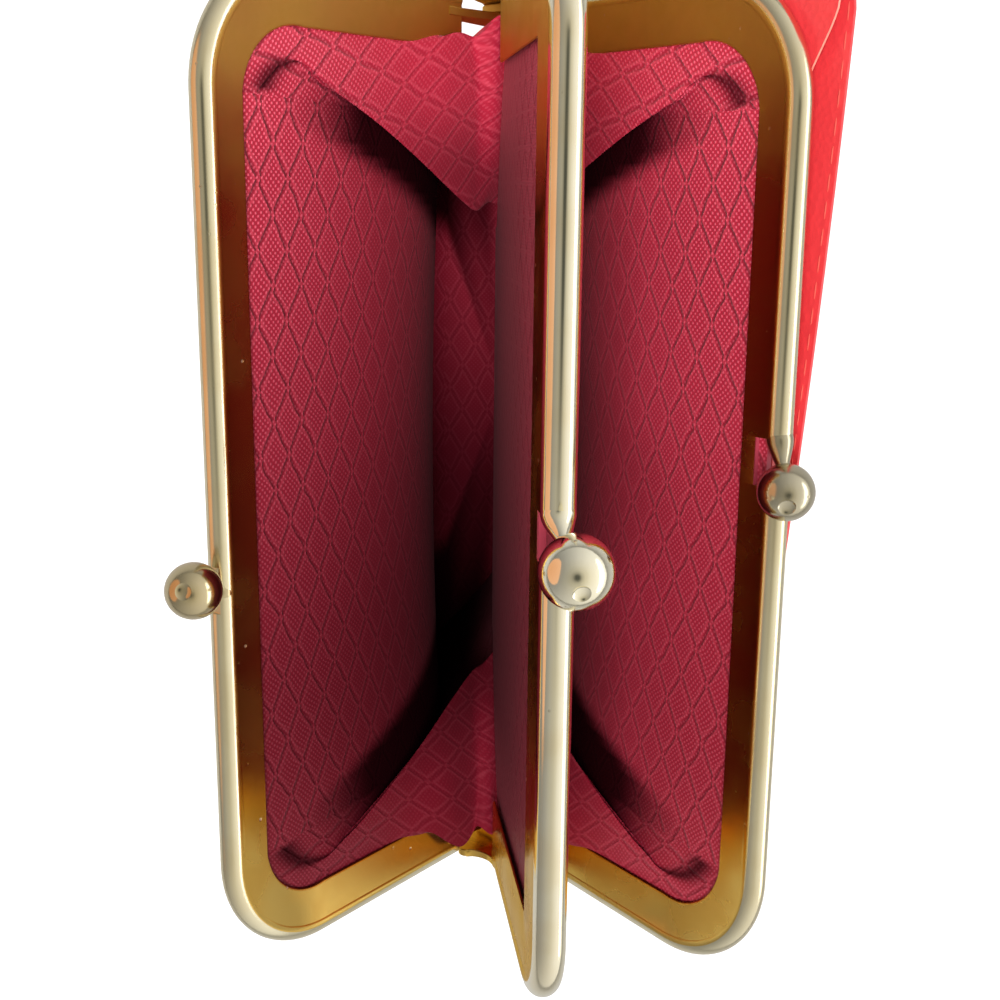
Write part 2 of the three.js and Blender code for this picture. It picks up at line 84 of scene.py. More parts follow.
FRAMES = {
    "front": dict(tilt=-OUTER_TILT, shift=0.0, reach=OUTER_REACH, half=OUTER_HALF, bar=BAR_DEPTH,
                  leg=LEG_DEPTH, length=FRAME_LENGTH, corner=CORNER_RADIUS, ear=46.9),
    "middle": dict(tilt=MIDDLE_TILT, shift=0.0, reach=MIDDLE_REACH, half=MIDDLE_HALF, bar=MIDDLE_BAR_DEPTH,
                   leg=MIDDLE_LEG_DEPTH, length=MIDDLE_LENGTH, corner=MIDDLE_CORNER, ear=49.1),
    "back": dict(tilt=OUTER_TILT, shift=BACK_SHIFT, reach=OUTER_REACH, half=OUTER_HALF, bar=BAR_DEPTH,
                 leg=LEG_DEPTH, length=FRAME_LENGTH, corner=CORNER_RADIUS, ear=48.0),
}
# Each ball: radius, where its neck leaves the bead, the notch's middle and depth, the centre beside
# the frame, and the way that its small flat faces
BALLS = {
    "front": dict(radius=2.7, foot=8.9, notch=8.3, cut=0.25, x=7.5, reach=46.5, off=0.8,
                  flat=(-0.25, -0.14, 0.96)),
    "middle": dict(radius=3.35, foot=-1.5, notch=1.2, cut=3.0, x=2.3, reach=47.6, off=0.4,
                   flat=(0.3, 0.1, 0.95)),
    "back": dict(radius=2.65, foot=-7.3, notch=-4.6, cut=3.0, x=-2.7, reach=45.8, off=-2.6,
                 flat=(0.33, -0.13, 0.94)),
}
NECK_TIP = 0.5
NECK_LEAD = (2.2, 0.5)
BALL_FLAT = 0.8
BALL_DIMPLE = 0.22

# Rows of the soft body below the pins: drop, half width, seam, fold, share of the floor's inset
BODY_ROWS = np.array([
    (45.0, 10.4, 44.0, 31.0, 1.0),
    (44.2, 11.9, 45.2, 30.4, 1.0),
    (42.2, 12.7, 46.0, 30.0, 0.7),
    (27.0, 13.0, 46.6, 30.0, 0.0),
    (13.0, 11.7, 45.4, 30.4, 0.0),
    (3.8, 9.9, 43.1, 31.0, 0.0),
])
PANEL_BOW = 0.9
GUSSET_HOLLOW = 1.25
GUSSET_FOLD = 0.85
FOLD_ROUND = 0.05
# Rings of the flat base, as shares of the way from its middle to the wall
BASE_RINGS = np.array((0.0, 0.55, 0.75, 0.9, 1.0))
SEAM_ANGLE = 90.0
CORNER_SHARE = 0.08
FLANGE_INSET = 1.95
HINGE_LIP = 0.4
LIP_SHARE = 0.3
LIP_RISE = (9.0, 13.0)
HINGE_OUT = 3.0
HINGE_UP = 6.4
HINGE_UNTIL = 8.0
# Depth below the skin and place off the frame's plane, of each layer of the soft wall
LAYERS = {
    "leather_skin": (0.0, 0.72),
    "leather_back": (1.3, 0.08),
    "lining_back": (1.6, -0.08),
    "lining_face": (2.6, -0.72),
}
# Columns on a leg, a corner and half a bar, then rows below and above the pins, in a quarter of a wall
LINING_DENSITY = (64, 15, 34, 22, 76)
LEATHER_DENSITY = (26, 9, 20, 20, 26)

DIVIDER_HALF = 0.8
DIVIDER_BEND = 8.0
DIVIDER_LOWER = 24.6
DIVIDER_FLOOR = 41.9
DIVIDER_FOOT_ROUND = 1.5
DIVIDER_SHOULDER = (-1.6, 7.2)
DIVIDER_MARGIN = 0.45

LEAF_HALF = 48.5
LEAF_CORNER = 4.0
LEAF_FOOT = 4.0
LEAF_FOOT_ROUND = 0.6
LEAF_SKIVED = (0.94, 0.75)
# Height of the leaves' upper edges, and the places where the inner one lifts towards -X
INNER_EDGE = 40.6
INNER_LIFT = 4.4
INNER_LIFT_ALONG = (36, 47)
OUTER_EDGE = 40.7
OUTER_SLOPE = 0.1

# Lining: thread pitch and the embossed trellis, how it sways, the edges of its lines and ridges as distances
# from a line's middle, and the relief of each
THREAD = 0.31
DIAMOND_LENGTH = 6.6
DIAMOND_WIDTH = 3.8
TRELLIS_START = 100.5
WEAVE_SWAY = (0.35, 0.5)
THREAD_EDGE = (-0.1, 0.9)
GROOVE_EDGE = (0.08, 0.3)
KNOT_EDGE = (0.15, 0.4)
RIDGE_START = (0.2, 0.35)
RIDGE_END = (0.4, 0.65)
KNOT_RIDGE = 0.6
THREAD_RELIEF = 0.05
FLAT_RELIEF = 0.03
RIDGE_RELIEF = 0.03
GROOVE_RELIEF = 0.12
# Colours of the lining: two tones of its ground, painted highlights on the threads' tops and the ridges,
# painted shade in the grooves, and the deep painted shade
GROUND = ((0.36, 0.012, 0.034, 1), (0.46, 0.02, 0.05, 1))
GROUND_NOISE = (60.0, 3.0)
THREAD_TOP = (0.85, 0.13, 0.2, 1)
RIDGE_TOP = (0.7, 0.09, 0.14, 1)
GROOVE_DARK = (0.14, 0.004, 0.014, 1)
DEEP_SHADE = (0.004, 0.0005, 0.001, 1)
# How crisp the weave is, least and gain, how much it drops towards +X, and how much of the threads' painted
# highlights and the grooves' painted shade it lets through
CRISP_RISE = (0.056, 0.074)
CRISP = (0.25, 0.75)
CRISP_DROP_ALONG = 0.45
THREAD_SHARE = 0.9
RIDGE_SHARE = 0.3
GROOVE_SHARE = (0.12, 0.34)
# Painted shade of the lining over the bag, places in metres: along it, up it, on its bottom and in its
# gussets
SHADE_ALONG = (-0.045, 0.023)
SHADE_END = (0.27, 0.55)
DEEP_HEIGHT = 0.1
DEEP_STOPS = ((0.0, 1.0), (0.16, 1.0), (0.3, 0.66), (0.38, 0.46), (0.46, 0.48), (0.6, 0.65), (0.78, 0.93))
BACK_SHADE = 0.9
BOTTOM_RISE = (0.020, 0.036)
BOTTOM_ALONG = (-0.020, 0.018)
BOTTOM_SHADE = 0.45
SIDE_CHANGE = (-0.004, 0.006)
GUSSET_FROM = (0.030, 0.040)
FOLD_SHADE = 0.04
DIVIDER_SHADE = 0.6
CLOTH_GLOSS = 0.4
CLOTH_SHEEN = 0.12
SHEEN_TINT = (1.0, 0.5, 0.55, 1)
# How far the end gussets puff out at -X and +X, which way, and where across and up the gusset
GUSSET_PUFF = {-1: 3.2, 1: 1.3}
PUFF_WAY = (-0.95, 0.0, 0.3)
PUFF_SPREAD = (0.12, 0.22)
PUFF_ACROSS = ((0.0, 0.12), (0.75, 1.0))
PUFF_UP = ((0.0, 0.2), (0.92, 1.0))
# Where the lining swells over the legs beside the hinge: middle and spread up the leg, and how far
HINGE_SWELL = (9.0, 5.5)
HINGE_SWELL_BY = {-1: (1.5, -0.6, 1.0), 1: (4.0, -1.2, 2.0)}
HINGE_SWELL_FOOT = 0.4
HINGE_SWELL_RISE = (0.4, 0.9)
# The shadow on the panel beside the creases: how they slant across it, how wide it is, where it ends
FOLD_SLANT = 0.3
FOLD_SHADOW = (0.12, 0.04)
FOLD_SHADOW_END = (0.64, 0.95)
# The shadow on the gusset below the crease: where it ends upwards, how soft it is low down and high up
FOLD_DEEP = (0.6, 0.93)
FOLD_SOFT = (-0.6, -0.12)
FOLD_SOFT_RISE = (0.0, 0.25)
FOLD_TOP = -0.03
# The painted shadow line along the crease: its strength and place, its width above, and below near and off
# the corner
FOLD_LINE = 0.9
LINE_PLACE = -0.045
LINE_ABOVE = 0.03
LINE_BELOW = (0.03, 0.1)
LINE_CORNER = (0.04, 0.2)
# The gusset's directions for its layout of threads: up the leg, and inwards across the gusset
GUSSET_UP = np.array((0.0, math.sin(OUTER_TILT), math.cos(OUTER_TILT)))
GUSSET_INWARD = np.array((-0.954, -0.185, -0.236))

STITCH_STEP = 2.4
STITCH_LENGTH = 1.7
STITCH_RADIUS = 0.09
STITCH_INSET = 0.6
STITCH_MARGIN = 1.6

# Metal: depth of its wear in metres, the edges of clouds and pits, where pits gather, how scratches are
# drawn out, how rough a pit is, and where the flats turn from matt to polished
WEAR_DEPTH = 0.00003
CLOUD_EDGE = (0.38, 0.68)
PIT_EDGE = (0.08, 0.2)
PIT_PATCHES = (0.6, 0.68)
PATCH_NOISE = (260.0, 2.0)
SCRATCH_STRETCH = (60.0, 2600.0, 2600.0)
PIT_ROUGHNESS = 0.3
MATT_ALONG = (-0.047, -0.024)

# Leather: scale and detail of its uneven colour, and its thin finish
LEATHER_NOISE = (90.0, 4.0)
LEATHER_COAT = 0.25
LEATHER_COAT_ROUGHNESS = 0.3

# The camera's place in millimetres and its directions, fitted to the photograph
CAMERA_PLACE = (-29.15, 1.01, 199.63)
CAMERA_RIGHT = (-0.0103, 0.9999, -0.0082)
CAMERA_DOWN = (0.9735, 0.0119, 0.2285)
CAMERA_FORWARD = (0.2286, -0.0056, -0.9735)
CAMERA_LENS = 47.52
CAMERA_SENSOR = 36
CAMERA_CLIP = 0.005
# The room's brightness, how much it leans to one side, and its colours by height
ROOM_STRENGTH = 0.7
ROOM_LEAN = (0.1, 0.7, 0.0)
ROOM_COLOURS = (
    (0.0, (0.95, 0.93, 0.88)), (0.55, (0.95, 0.92, 0.86)), (0.8, (0.9, 0.86, 0.76)),
    (0.93, (0.78, 0.73, 0.6)), (0.975, (0.52, 0.49, 0.4)), (0.992, (0.16, 0.16, 0.13)),
    (1.0, (0.1, 0.105, 0.09)),
)
FLOOR_HALF = 1500.0
FLOOR_DROP = 0.1
FLOOR_SHADE = 0.34
FLOOR_GLOW = 0.8


def lerp(a, b, t):
    return a + (b - a) * t


def smoothstep(x, low, high):
    t = np.clip((np.asarray(x, float) - low) / (high - low), 0.0, 1.0)
    return t * t * (3.0 - 2.0 * t)


def hump(x, up, down):
    """Rises from 0 to 1 over one stretch, and falls back to 0 over the other."""
    return smoothstep(x, *up) * (1 - smoothstep(x, *down))


def inside(share):
    """One well inside 0 to 1, and nothing at both ends."""
    return hump(share, (0.0, 0.15), (0.85, 1.0))


def stack(x, y, z):
    return np.stack(np.broadcast_arrays(x, y, z), axis=-1).astype(float)


def beside_frame(tilt, x, h, n):
    """Points beside a tilted frame: x along the pins, h out from them, n off its plane towards +Y."""
    y = h * np.sin(tilt) + n * np.cos(tilt)
    z = PIVOT + h * np.cos(tilt) - n * np.sin(tilt)
    return stack(x, y, z)


def bent(start, bend, end, t):
    """Points of a curve from start to end that is drawn towards the bend."""
    return (1 - t) ** 2 * start + 2 * t * (1 - t) * bend + t ** 2 * end


def arc(centre, radius, start, end, count):
    """Points of an arc in a plane."""
    x, y = centre
    return [(x + radius * math.cos(a), y + radius * math.sin(a)) for a in np.linspace(start, end, count)]


def lengths_along(points):
    """Lengths from the first row of points to each row."""
    steps = np.linalg.norm(np.diff(points, axis=0), axis=-1)
    return np.concatenate((np.zeros_like(steps[:1]), np.cumsum(steps, axis=0)))


def smooth_through(xs, ys, x):
    """A curve through the given points that doesn't overshoot them."""
    step = np.diff(xs)
    slope = np.diff(ys) / step
    same = slope[:-1] * slope[1:] > 0
    inner = np.where(same, 2 * slope[:-1] * slope[1:] / np.where(same, slope[:-1] + slope[1:], 1), 0)
    tangent = np.concatenate(([slope[0]], inner, [slope[-1]]))
    i = np.clip(np.searchsorted(xs, x) - 1, 0, len(step) - 1)
    t = (x - xs[i]) / step[i]
    a = (1 + 2 * t) * (1 - t) ** 2 * ys[i] + t * (1 - t) ** 2 * step[i] * tangent[i]
    b = t * t * (3 - 2 * t) * ys[i + 1] + t * t * (t - 1) * step[i] * tangent[i + 1]
    return a + b


def placed(name, data):
    """A new object with the given data, in the scene."""
    piece = bpy.data.objects.new(name, data)
    bpy.context.scene.collection.objects.link(piece)
    return piece


class Builder:
    """Gathers grids and caps into one closed mesh with a UV layer in millimetres."""

    def __init__(self):
        self.points = []
        self.faces = []
        self.uvs = []
        self.shades = []
        self.marks = []
        self.count = 0

    def grid(self, points, uv=None, looped=False, flip=False, mark=0, lit=1.0):
        rows, columns = points.shape[:2]
        index = np.arange(rows * columns).reshape(rows, columns) + self.count
        right = np.roll(index, -1, axis=1) if looped else index[:, 1:]
        left = index if looped else index[:, :-1]
        quads = np.stack([left[:-1], right[:-1], right[1:], left[1:]], axis=-1).reshape(-1, 4)
        flat_uv = np.zeros((rows * columns, 2)) if uv is None else uv.reshape(-1, 2)
        self.add(points.reshape(-1, 3), quads[:, ::-1] if flip else quads, flat_uv, mark, lit)

    def cap(self, loop, mark):
        order = np.arange(len(loop))[None, :] + self.count
        self.add(loop, order, loop[:, :2], mark)

    def tube(self, loops, mark=0, ends=0):
        """Closed loops in a row, with a cap on the first and the last."""
        self.grid(np.array(loops), looped=True, mark=mark)
        self.cap(loops[0], ends)
        self.cap(loops[-1], ends)

    def add(self, points, faces, uv, mark, lit=1.0):
        self.points.append(points)
        self.shades.append(np.broadcast_to(np.ravel(lit), len(points)))
        self.faces.extend(faces.tolist())
        self.uvs.append(uv)
        self.marks.extend(np.broadcast_to(mark, len(faces)).tolist())
        self.count += len(points)

    def build(self, name, materials, sharp=40.0, turn=True):
        points = np.concatenate(self.points) * MM
        uv = np.concatenate(self.uvs)
        mesh = bpy.data.meshes.new(name)
        mesh.from_pydata(points.tolist(), [], self.faces)
        for material in materials:
            mesh.materials.append(material)
        mesh.polygons.foreach_set("material_index", self.marks)
        corners = np.empty(len(mesh.loops), dtype=np.int32)
        mesh.loops.foreach_get("vertex_index", corners)
        mesh.uv_layers.new(name="cloth").data.foreach_set("uv", uv[corners].ravel())
        shade = mesh.attributes.new("open_to_light", "FLOAT", "POINT")
        shade.data.foreach_set("value", np.concatenate(self.shades).astype(np.float32))
        work = bmesh.new()
        work.from_mesh(mesh)
        bmesh.ops.remove_doubles(work, verts=work.verts, dist=2e-6)
        if turn:
            bmesh.ops.recalc_face_normals(work, faces=work.faces)
        work.to_mesh(mesh)
        work.free()
        mesh.polygons.foreach_set("use_smooth", np.ones(len(mesh.polygons), dtype=bool))
        mesh.set_sharp_from_angle(angle=math.radians(sharp))
        return placed(name, mesh)


# Shader helpers
def fill(tree, node, values):
    """Fills a node's inputs, by label or number, each with a link or a value."""
    for label, value in values.items():
        if isinstance(value, bpy.types.NodeSocket):
            tree.links.new(value, node.inputs[label])
        else:
            node.inputs[label].default_value = value


def node_of(tree, kind, values=None, **settings):
    """The outputs of a new node with the given settings and inputs."""
    node = tree.nodes.new(kind)
    for key, value in settings.items():
        setattr(node, key, value)
    fill(tree, node, values or {})
    return node.outputs


def maths(tree, operation, a, b=0.0, c=0.0):
    return node_of(tree, "ShaderNodeMath", {0: a, 1: b, 2: c}, operation=operation)[0]


def ramp(tree, value, low, high):
    values = {"Value": value, "From Min": low, "From Max": high}
    return node_of(tree, "ShaderNodeMapRange", values, interpolation_type="SMOOTHSTEP")["Result"]


def rest_of(tree, value):
    """One less the value."""
    return maths(tree, "SUBTRACT", 1.0, value)


def colour_ramp(tree, value, stops):
    """Colours over a value, from stops of position and colour in rising order."""
    node = tree.nodes.new("ShaderNodeValToRGB")
    fill(tree, node, {"Fac": value})
    steps = node.color_ramp.elements
    for step, (position, colour) in zip((steps[0], steps[1]), (stops[0], stops[-1])):
        step.position = position
        step.color = (*colour, 1)
    for position, colour in stops[1:-1]:
        steps.new(position).color = (*colour, 1)
    return node.outputs["Color"]


def grey_ramp(tree, value, stops):
    return colour_ramp(tree, value, [(position, (shade,) * 3) for position, shade in stops])


def parts_of(tree, vector):
    """The three parts of a vector."""
    return node_of(tree, "ShaderNodeSeparateXYZ", {0: vector})


def mixed(tree, share, a, b):
    return node_of(tree, "ShaderNodeMix", {"Factor": share, 6: a, 7: b}, data_type="RGBA")[2]


def noise(tree, vector, scale, detail):
    return node_of(tree, "ShaderNodeTexNoise", {"Vector": vector, "Scale": scale, "Detail": detail})["Fac"]


def cells(tree, vector, scale):
    return node_of(tree, "ShaderNodeTexVoronoi", {"Vector": vector, "Scale": scale})["Distance"]


def new_group(name, inputs, outputs, kind="ShaderNodeTree"):
    """A node group, what it is given, and the node that takes what it gives."""
    tree = bpy.data.node_groups.new(name, kind)
    for label, socket_type, value in inputs:
        socket = tree.interface.new_socket(label, in_out="INPUT", socket_type=socket_type)
        if value is not None:
            socket.default_value = value
    for label, socket_type in outputs:
        tree.interface.new_socket(label, in_out="OUTPUT", socket_type=socket_type)
    return tree, tree.nodes.new("NodeGroupInput").outputs, tree.nodes.new("NodeGroupOutput")


def use_group(tree, group, vector):
    return node_of(tree, "ShaderNodeGroup", {"Vector": vector}, node_tree=group)


def new_material(name):
    material = bpy.data.materials.new(name)
    material.use_nodes = True
    tree = material.node_tree
    return material, tree, tree.nodes["Principled BSDF"]


def thread_tops(tree, thread, u, v):
    """Tops of the threads of a basket weave."""
    turns = [maths(tree, "MULTIPLY", maths(tree, "DIVIDE", way, thread), math.pi) for way in (u, v)]
    waves = [maths(tree, "COSINE", turn) for turn in turns]
    return ramp(tree, maths(tree, "MULTIPLY", *waves), *THREAD_EDGE)


def trellis_gaps(tree, along, over):
    """Distances in millimetres from the trellis's two sets of lines: the nearer and the farther."""
    spacing = 1.0 / math.hypot(1.0 / DIAMOND_LENGTH, 1.0 / DIAMOND_WIDTH)
    gaps = []
    for sign in ("ADD", "SUBTRACT"):
        place = maths(tree, "FRACT", maths(tree, "ADD", maths(tree, sign, along, over), TRELLIS_START))
        off_line = maths(tree, "ABSOLUTE", maths(tree, "SUBTRACT", place, 0.5))
        gaps.append(maths(tree, "MULTIPLY", off_line, spacing))
    return maths(tree, "MINIMUM", *gaps), maths(tree, "MAXIMUM", *gaps)


def weave_group():
    """Basket weave and embossed diamond trellis over a UV in millimetres."""
    tree, given, gives = new_group(
        "woven_trellis",
        [("Vector", "NodeSocketVector", None), ("Thread", "NodeSocketFloat", THREAD),
         ("Length", "NodeSocketFloat", DIAMOND_LENGTH), ("Width", "NodeSocketFloat", DIAMOND_WIDTH)],
        [("Height", "NodeSocketFloat"), ("Dots", "NodeSocketFloat"), ("Groove", "NodeSocketFloat"),
         ("Ridge", "NodeSocketFloat")],
    )
    sway_scale, sway_by = WEAVE_SWAY
    flat_u, flat_v, _ = parts_of(tree, given["Vector"])
    sway = maths(tree, "MULTIPLY", noise(tree, given["Vector"], sway_scale, 1.0), sway_by)
    u = maths(tree, "ADD", flat_u, sway)
    v = maths(tree, "ADD", flat_v, sway)
    dots = thread_tops(tree, given["Thread"], u, v)
    along = maths(tree, "DIVIDE", u, given["Length"])
    over = maths(tree, "DIVIDE", v, given["Width"])
    near, far = trellis_gaps(tree, along, over)
    knot = rest_of(tree, ramp(tree, far, *KNOT_EDGE))
    line = rest_of(tree, ramp(tree, near, *GROOVE_EDGE))
    groove = maths(tree, "MULTIPLY", line, rest_of(tree, knot))
    outer = rest_of(tree, ramp(tree, near, *RIDGE_END))
    beside = maths(tree, "MULTIPLY", ramp(tree, near, *RIDGE_START), outer)
    ridge = maths(tree, "MAXIMUM", beside, maths(tree, "MULTIPLY", knot, KNOT_RIDGE))
    pressed = maths(tree, "MULTIPLY", groove, FLAT_RELIEF)
    threads = maths(tree, "MULTIPLY", dots, maths(tree, "SUBTRACT", THREAD_RELIEF, pressed))
    raised = maths(tree, "MULTIPLY", ridge, RIDGE_RELIEF)
    relief = maths(tree, "SUBTRACT", raised, maths(tree, "MULTIPLY", groove, GROOVE_RELIEF))
    height = maths(tree, "ADD", threads, relief)
    fill(tree, gives, {"Height": height, "Dots": dots, "Groove": groove, "Ridge": ridge})
    return tree


def wear_group():
    """Wear of a plated metal: cloudy patches, pits and long fine scratches, from object coordinates."""
    tree, given, gives = new_group(
        "metal_wear",
        [("Vector", "NodeSocketVector", None), ("Cloud scale", "NodeSocketFloat", 140.0),
         ("Pit scale", "NodeSocketFloat", 900.0)],
        [("Cloud", "NodeSocketFloat"), ("Pits", "NodeSocketFloat"), ("Scratches", "NodeSocketFloat")],
    )
    place = given["Vector"]
    cloud = ramp(tree, noise(tree, place, given["Cloud scale"], 4.0), *CLOUD_EDGE)
    patches = ramp(tree, noise(tree, place, *PATCH_NOISE), *PIT_PATCHES)
    speck = rest_of(tree, ramp(tree, cells(tree, place, given["Pit scale"]), *PIT_EDGE))
    stretched = node_of(tree, "ShaderNodeMapping", {"Vector": place, "Scale": SCRATCH_STRETCH})[0]
    fill(tree, gives, {"Cloud": cloud, "Pits": maths(tree, "MULTIPLY", speck, patches),
                       "Scratches": noise(tree, stretched, 1.0, 3.0)})
    return tree


def grain_group():
    """Fine leather grain from object coordinates."""
    tree, given, gives = new_group(
        "leather_grain",
        [("Vector", "NodeSocketVector", None), ("Scale", "NodeSocketFloat", 1500.0)],
        [("Height", "NodeSocketFloat"), ("Shade", "NodeSocketFloat")],
    )
    place = given["Vector"]
    fill(tree, gives, {"Height": cells(tree, place, given["Scale"]),
                       "Shade": noise(tree, place, *LEATHER_NOISE)})
    return tree


def bump(tree, height, distance):
    return node_of(tree, "ShaderNodeBump", {"Distance": distance, "Height": height})[0]


def place_of(tree):
    return node_of(tree, "ShaderNodeTexCoord")["Object"]


def metal(name, wear, colour, dull, roughness, spread, scratch,
          pit=(0.2, 0.14, 0.07), edge=(1.0, 1.0, 1.0), matt=0.0):
    """Plated metal in two tones, worn, with pits, and rougher by the matt share at the -X end."""
    material, tree, shader = new_material(name)
    place = place_of(tree)
    worn = use_group(tree, wear, place)
    tone = mixed(tree, worn["Cloud"], (*colour, 1), (*dull, 1))
    rough = maths(tree, "MULTIPLY_ADD", worn["Cloud"], spread, roughness)
    if matt:
        polished = ramp(tree, parts_of(tree, place)[0], *MATT_ALONG)
        rough = maths(tree, "ADD", rough, maths(tree, "MULTIPLY_ADD", polished, -matt, matt))
    scratches = maths(tree, "MULTIPLY", worn["Scratches"], scratch)
    fill(tree, shader, {
        "Base Color": mixed(tree, worn["Pits"], tone, (*pit, 1)),
        "Roughness": maths(tree, "MULTIPLY_ADD", worn["Pits"], PIT_ROUGHNESS, rough),
        "Metallic": 1.0,
        "Specular Tint": (*edge, 1),
        "Normal": bump(tree, maths(tree, "SUBTRACT", scratches, worn["Pits"]), WEAR_DEPTH),
    })
    return material


def cloth_pattern(tree, woven, place, crisp):
    """Colour of the lining's weave: ground, painted highlights on the threads and ridges, and painted shade
    in the grooves.
    """
    ground = mixed(tree, noise(tree, place, *GROUND_NOISE), *GROUND)
    dots = maths(tree, "MULTIPLY", woven["Dots"], maths(tree, "MULTIPLY", crisp, THREAD_SHARE))
    lit = mixed(tree, dots, ground, THREAD_TOP)
    high = mixed(tree, maths(tree, "MULTIPLY", woven["Ridge"], RIDGE_SHARE), lit, RIDGE_TOP)
    least, gain = GROOVE_SHARE
    line = maths(tree, "MULTIPLY", woven["Groove"], maths(tree, "MULTIPLY_ADD", crisp, gain, least))
    return mixed(tree, line, high, GROOVE_DARK)


def cloth_shade(tree, x, y, z, tone):
    """Painted shade of the lining: darker towards +X, deep down, at the +X end of the bottom and in the
    folds.
    """
    side = ramp(tree, y, *SIDE_CHANGE)
    end = maths(tree, "MULTIPLY_ADD", side, SHADE_END[1] - SHADE_END[0], SHADE_END[0] - 1.0)
    shade_by_place = maths(tree, "MULTIPLY_ADD", ramp(tree, x, *SHADE_ALONG), end, 1.0)
    front = grey_ramp(tree, maths(tree, "DIVIDE", z, DEEP_HEIGHT), DEEP_STOPS)
    depth = maths(tree, "MULTIPLY_ADD", side, maths(tree, "SUBTRACT", BACK_SHADE, front), front)
    gusset = ramp(tree, maths(tree, "ABSOLUTE", x), *GUSSET_FROM)
    depth = maths(tree, "MULTIPLY_ADD", gusset, rest_of(tree, depth), depth)
    bottom = maths(tree, "MULTIPLY", rest_of(tree, ramp(tree, z, *BOTTOM_RISE)), ramp(tree, x, *BOTTOM_ALONG))
    shade_by_place = maths(tree, "MULTIPLY", shade_by_place, maths(tree, "MULTIPLY_ADD", bottom, BOTTOM_SHADE - 1.0, 1.0))
    fold = node_of(tree, "ShaderNodeAttribute", attribute_name="open_to_light")["Fac"]
    open_fold = maths(tree, "MULTIPLY_ADD", fold, 1.0 - FOLD_SHADE, FOLD_SHADE)
    open_fold = maths(tree, "MULTIPLY", open_fold, tone)
    return maths(tree, "MULTIPLY", maths(tree, "MULTIPLY", shade_by_place, depth), open_fold)


def cloth(name, weave, tone=1.0):
    """Burgundy lining: weave crisp near the rims and softer deep inside and towards +X, with painted
    highlights on its weave and painted shade towards +X, deep down and in the folds.
    """
    material, tree, shader = new_material(name)
    woven = use_group(tree, weave, node_of(tree, "ShaderNodeUVMap", uv_map="cloth")[0])
    place = place_of(tree)
    x, y, z = parts_of(tree, place)
    crisp_along = maths(tree, "MULTIPLY_ADD", ramp(tree, x, *SHADE_ALONG), -CRISP_DROP_ALONG, 1.0)
    least, gain = CRISP
    crisp = maths(tree, "MULTIPLY_ADD", ramp(tree, z, *CRISP_RISE), gain, least)
    crisp = maths(tree, "MULTIPLY", crisp, crisp_along)
    shade = cloth_shade(tree, x, y, z, tone)
    pattern = cloth_pattern(tree, woven, place, crisp)
    fill(tree, shader, {
        "Base Color": mixed(tree, shade, DEEP_SHADE, pattern),
        "Roughness": 0.5,
        "Specular IOR Level": maths(tree, "MULTIPLY", shade, CLOTH_GLOSS),
        "Sheen Weight": maths(tree, "MULTIPLY", shade, CLOTH_SHEEN),
        "Sheen Tint": SHEEN_TINT,
        "Normal": bump(tree, maths(tree, "MULTIPLY", woven["Height"], crisp), MM),
    })
    return material


def leather(name, grain, dark, light, roughness, height):
    """Grained leather in two tones under a thin finish."""
    material, tree, shader = new_material(name)
    grown = use_group(tree, grain, place_of(tree))
    fill(tree, shader, {
        "Base Color": mixed(tree, grown["Shade"], (*dark, 1), (*light, 1)),
        "Roughness": roughness,
        "Specular IOR Level": 0.5,
        "Coat Weight": LEATHER_COAT,
        "Coat Roughness": LEATHER_COAT_ROUGHNESS,
        "Normal": bump(tree, grown["Height"], height),
    })
    return material


def plain(name, colour, roughness):
    material, tree, shader = new_material(name)
    fill(tree, shader, {"Base Color": (*colour, 1), "Roughness": roughness})
    return material


# Metal pieces
def channel_section(half):
    """Section of the channel as (hangs on the lip, inset, off), once round."""
    flat = half - BEAD_STEP
    slot = half - SHEET
    middle = (flat + slot) / 2
    edge = EDGE_ROUND
    arc = np.linspace(BEAD_START, math.pi - BEAD_START, 45)
    below = half - half * math.sin(BEAD_START)
    side = [(True, -3 * edge, slot), (True, -edge, slot + edge / 2), (True, 0.0, middle),
            (True, -edge, flat - edge / 2), (True, -3 * edge, flat), (False, below + 0.05, flat)]
    section = [(False, CHANNEL_CAP, -slot)] + [(lip, inset, -off) for lip, inset, off in side]
    section += [(False, half - half * math.sin(a), -half * math.cos(a)) for a in arc]
    section += side[::-1] + [(False, CHANNEL_CAP, slot)]
    return section


def frame_stations(size, notch):
    """Stations up a leg, along the bar and down again: x, h, inward x and h, depth, whether notched."""
    reach, bar, leg, corner = (size[name] for name in ("reach", "bar", "leg", "corner"))
    straight = reach - corner
    centre = size["length"] / 2 - corner
    up_leg = np.linspace(LEG_END, straight, 10)[:-1]
    stations = [(-size["length"] / 2, h, 1.0, 0.0, leg, 0) for h in up_leg]
    for share in np.linspace(0, 1, 25):
        a = share * math.pi / 2
        stations.append((-centre - corner * math.cos(a), straight + corner * math.sin(a),
                         math.cos(a), -math.sin(a), lerp(leg, bar, share), 0))
    to_mirror = len(stations)
    cuts = [notch + side * NOTCH_HALF + step for side in (-1, 1) for step in (-0.02, 0.02)]
    places = np.sort(np.concatenate((np.linspace(-centre, centre, 61)[1:-1], cuts)))
    for x in places:
        stations.append((x, reach, 0.0, -1.0, bar, int(abs(x - notch) < NOTCH_HALF)))
    mirrored = [(-x, h, -in_x, in_h, depth, 0) for x, h, in_x, in_h, depth, _ in stations[:to_mirror]]
    return stations + mirrored[::-1]


def ear_outline():
    points = arc((0.0, 0.0), EAR_FOOT, math.pi, 2 * math.pi, 25)
    points += [(EAR_TOP_HALF, LEG_END), (EAR_TOP_HALF, EAR_TOP)]
    points += [(-EAR_TOP_HALF, EAR_TOP), (-EAR_TOP_HALF, LEG_END)]
    return np.array(points)


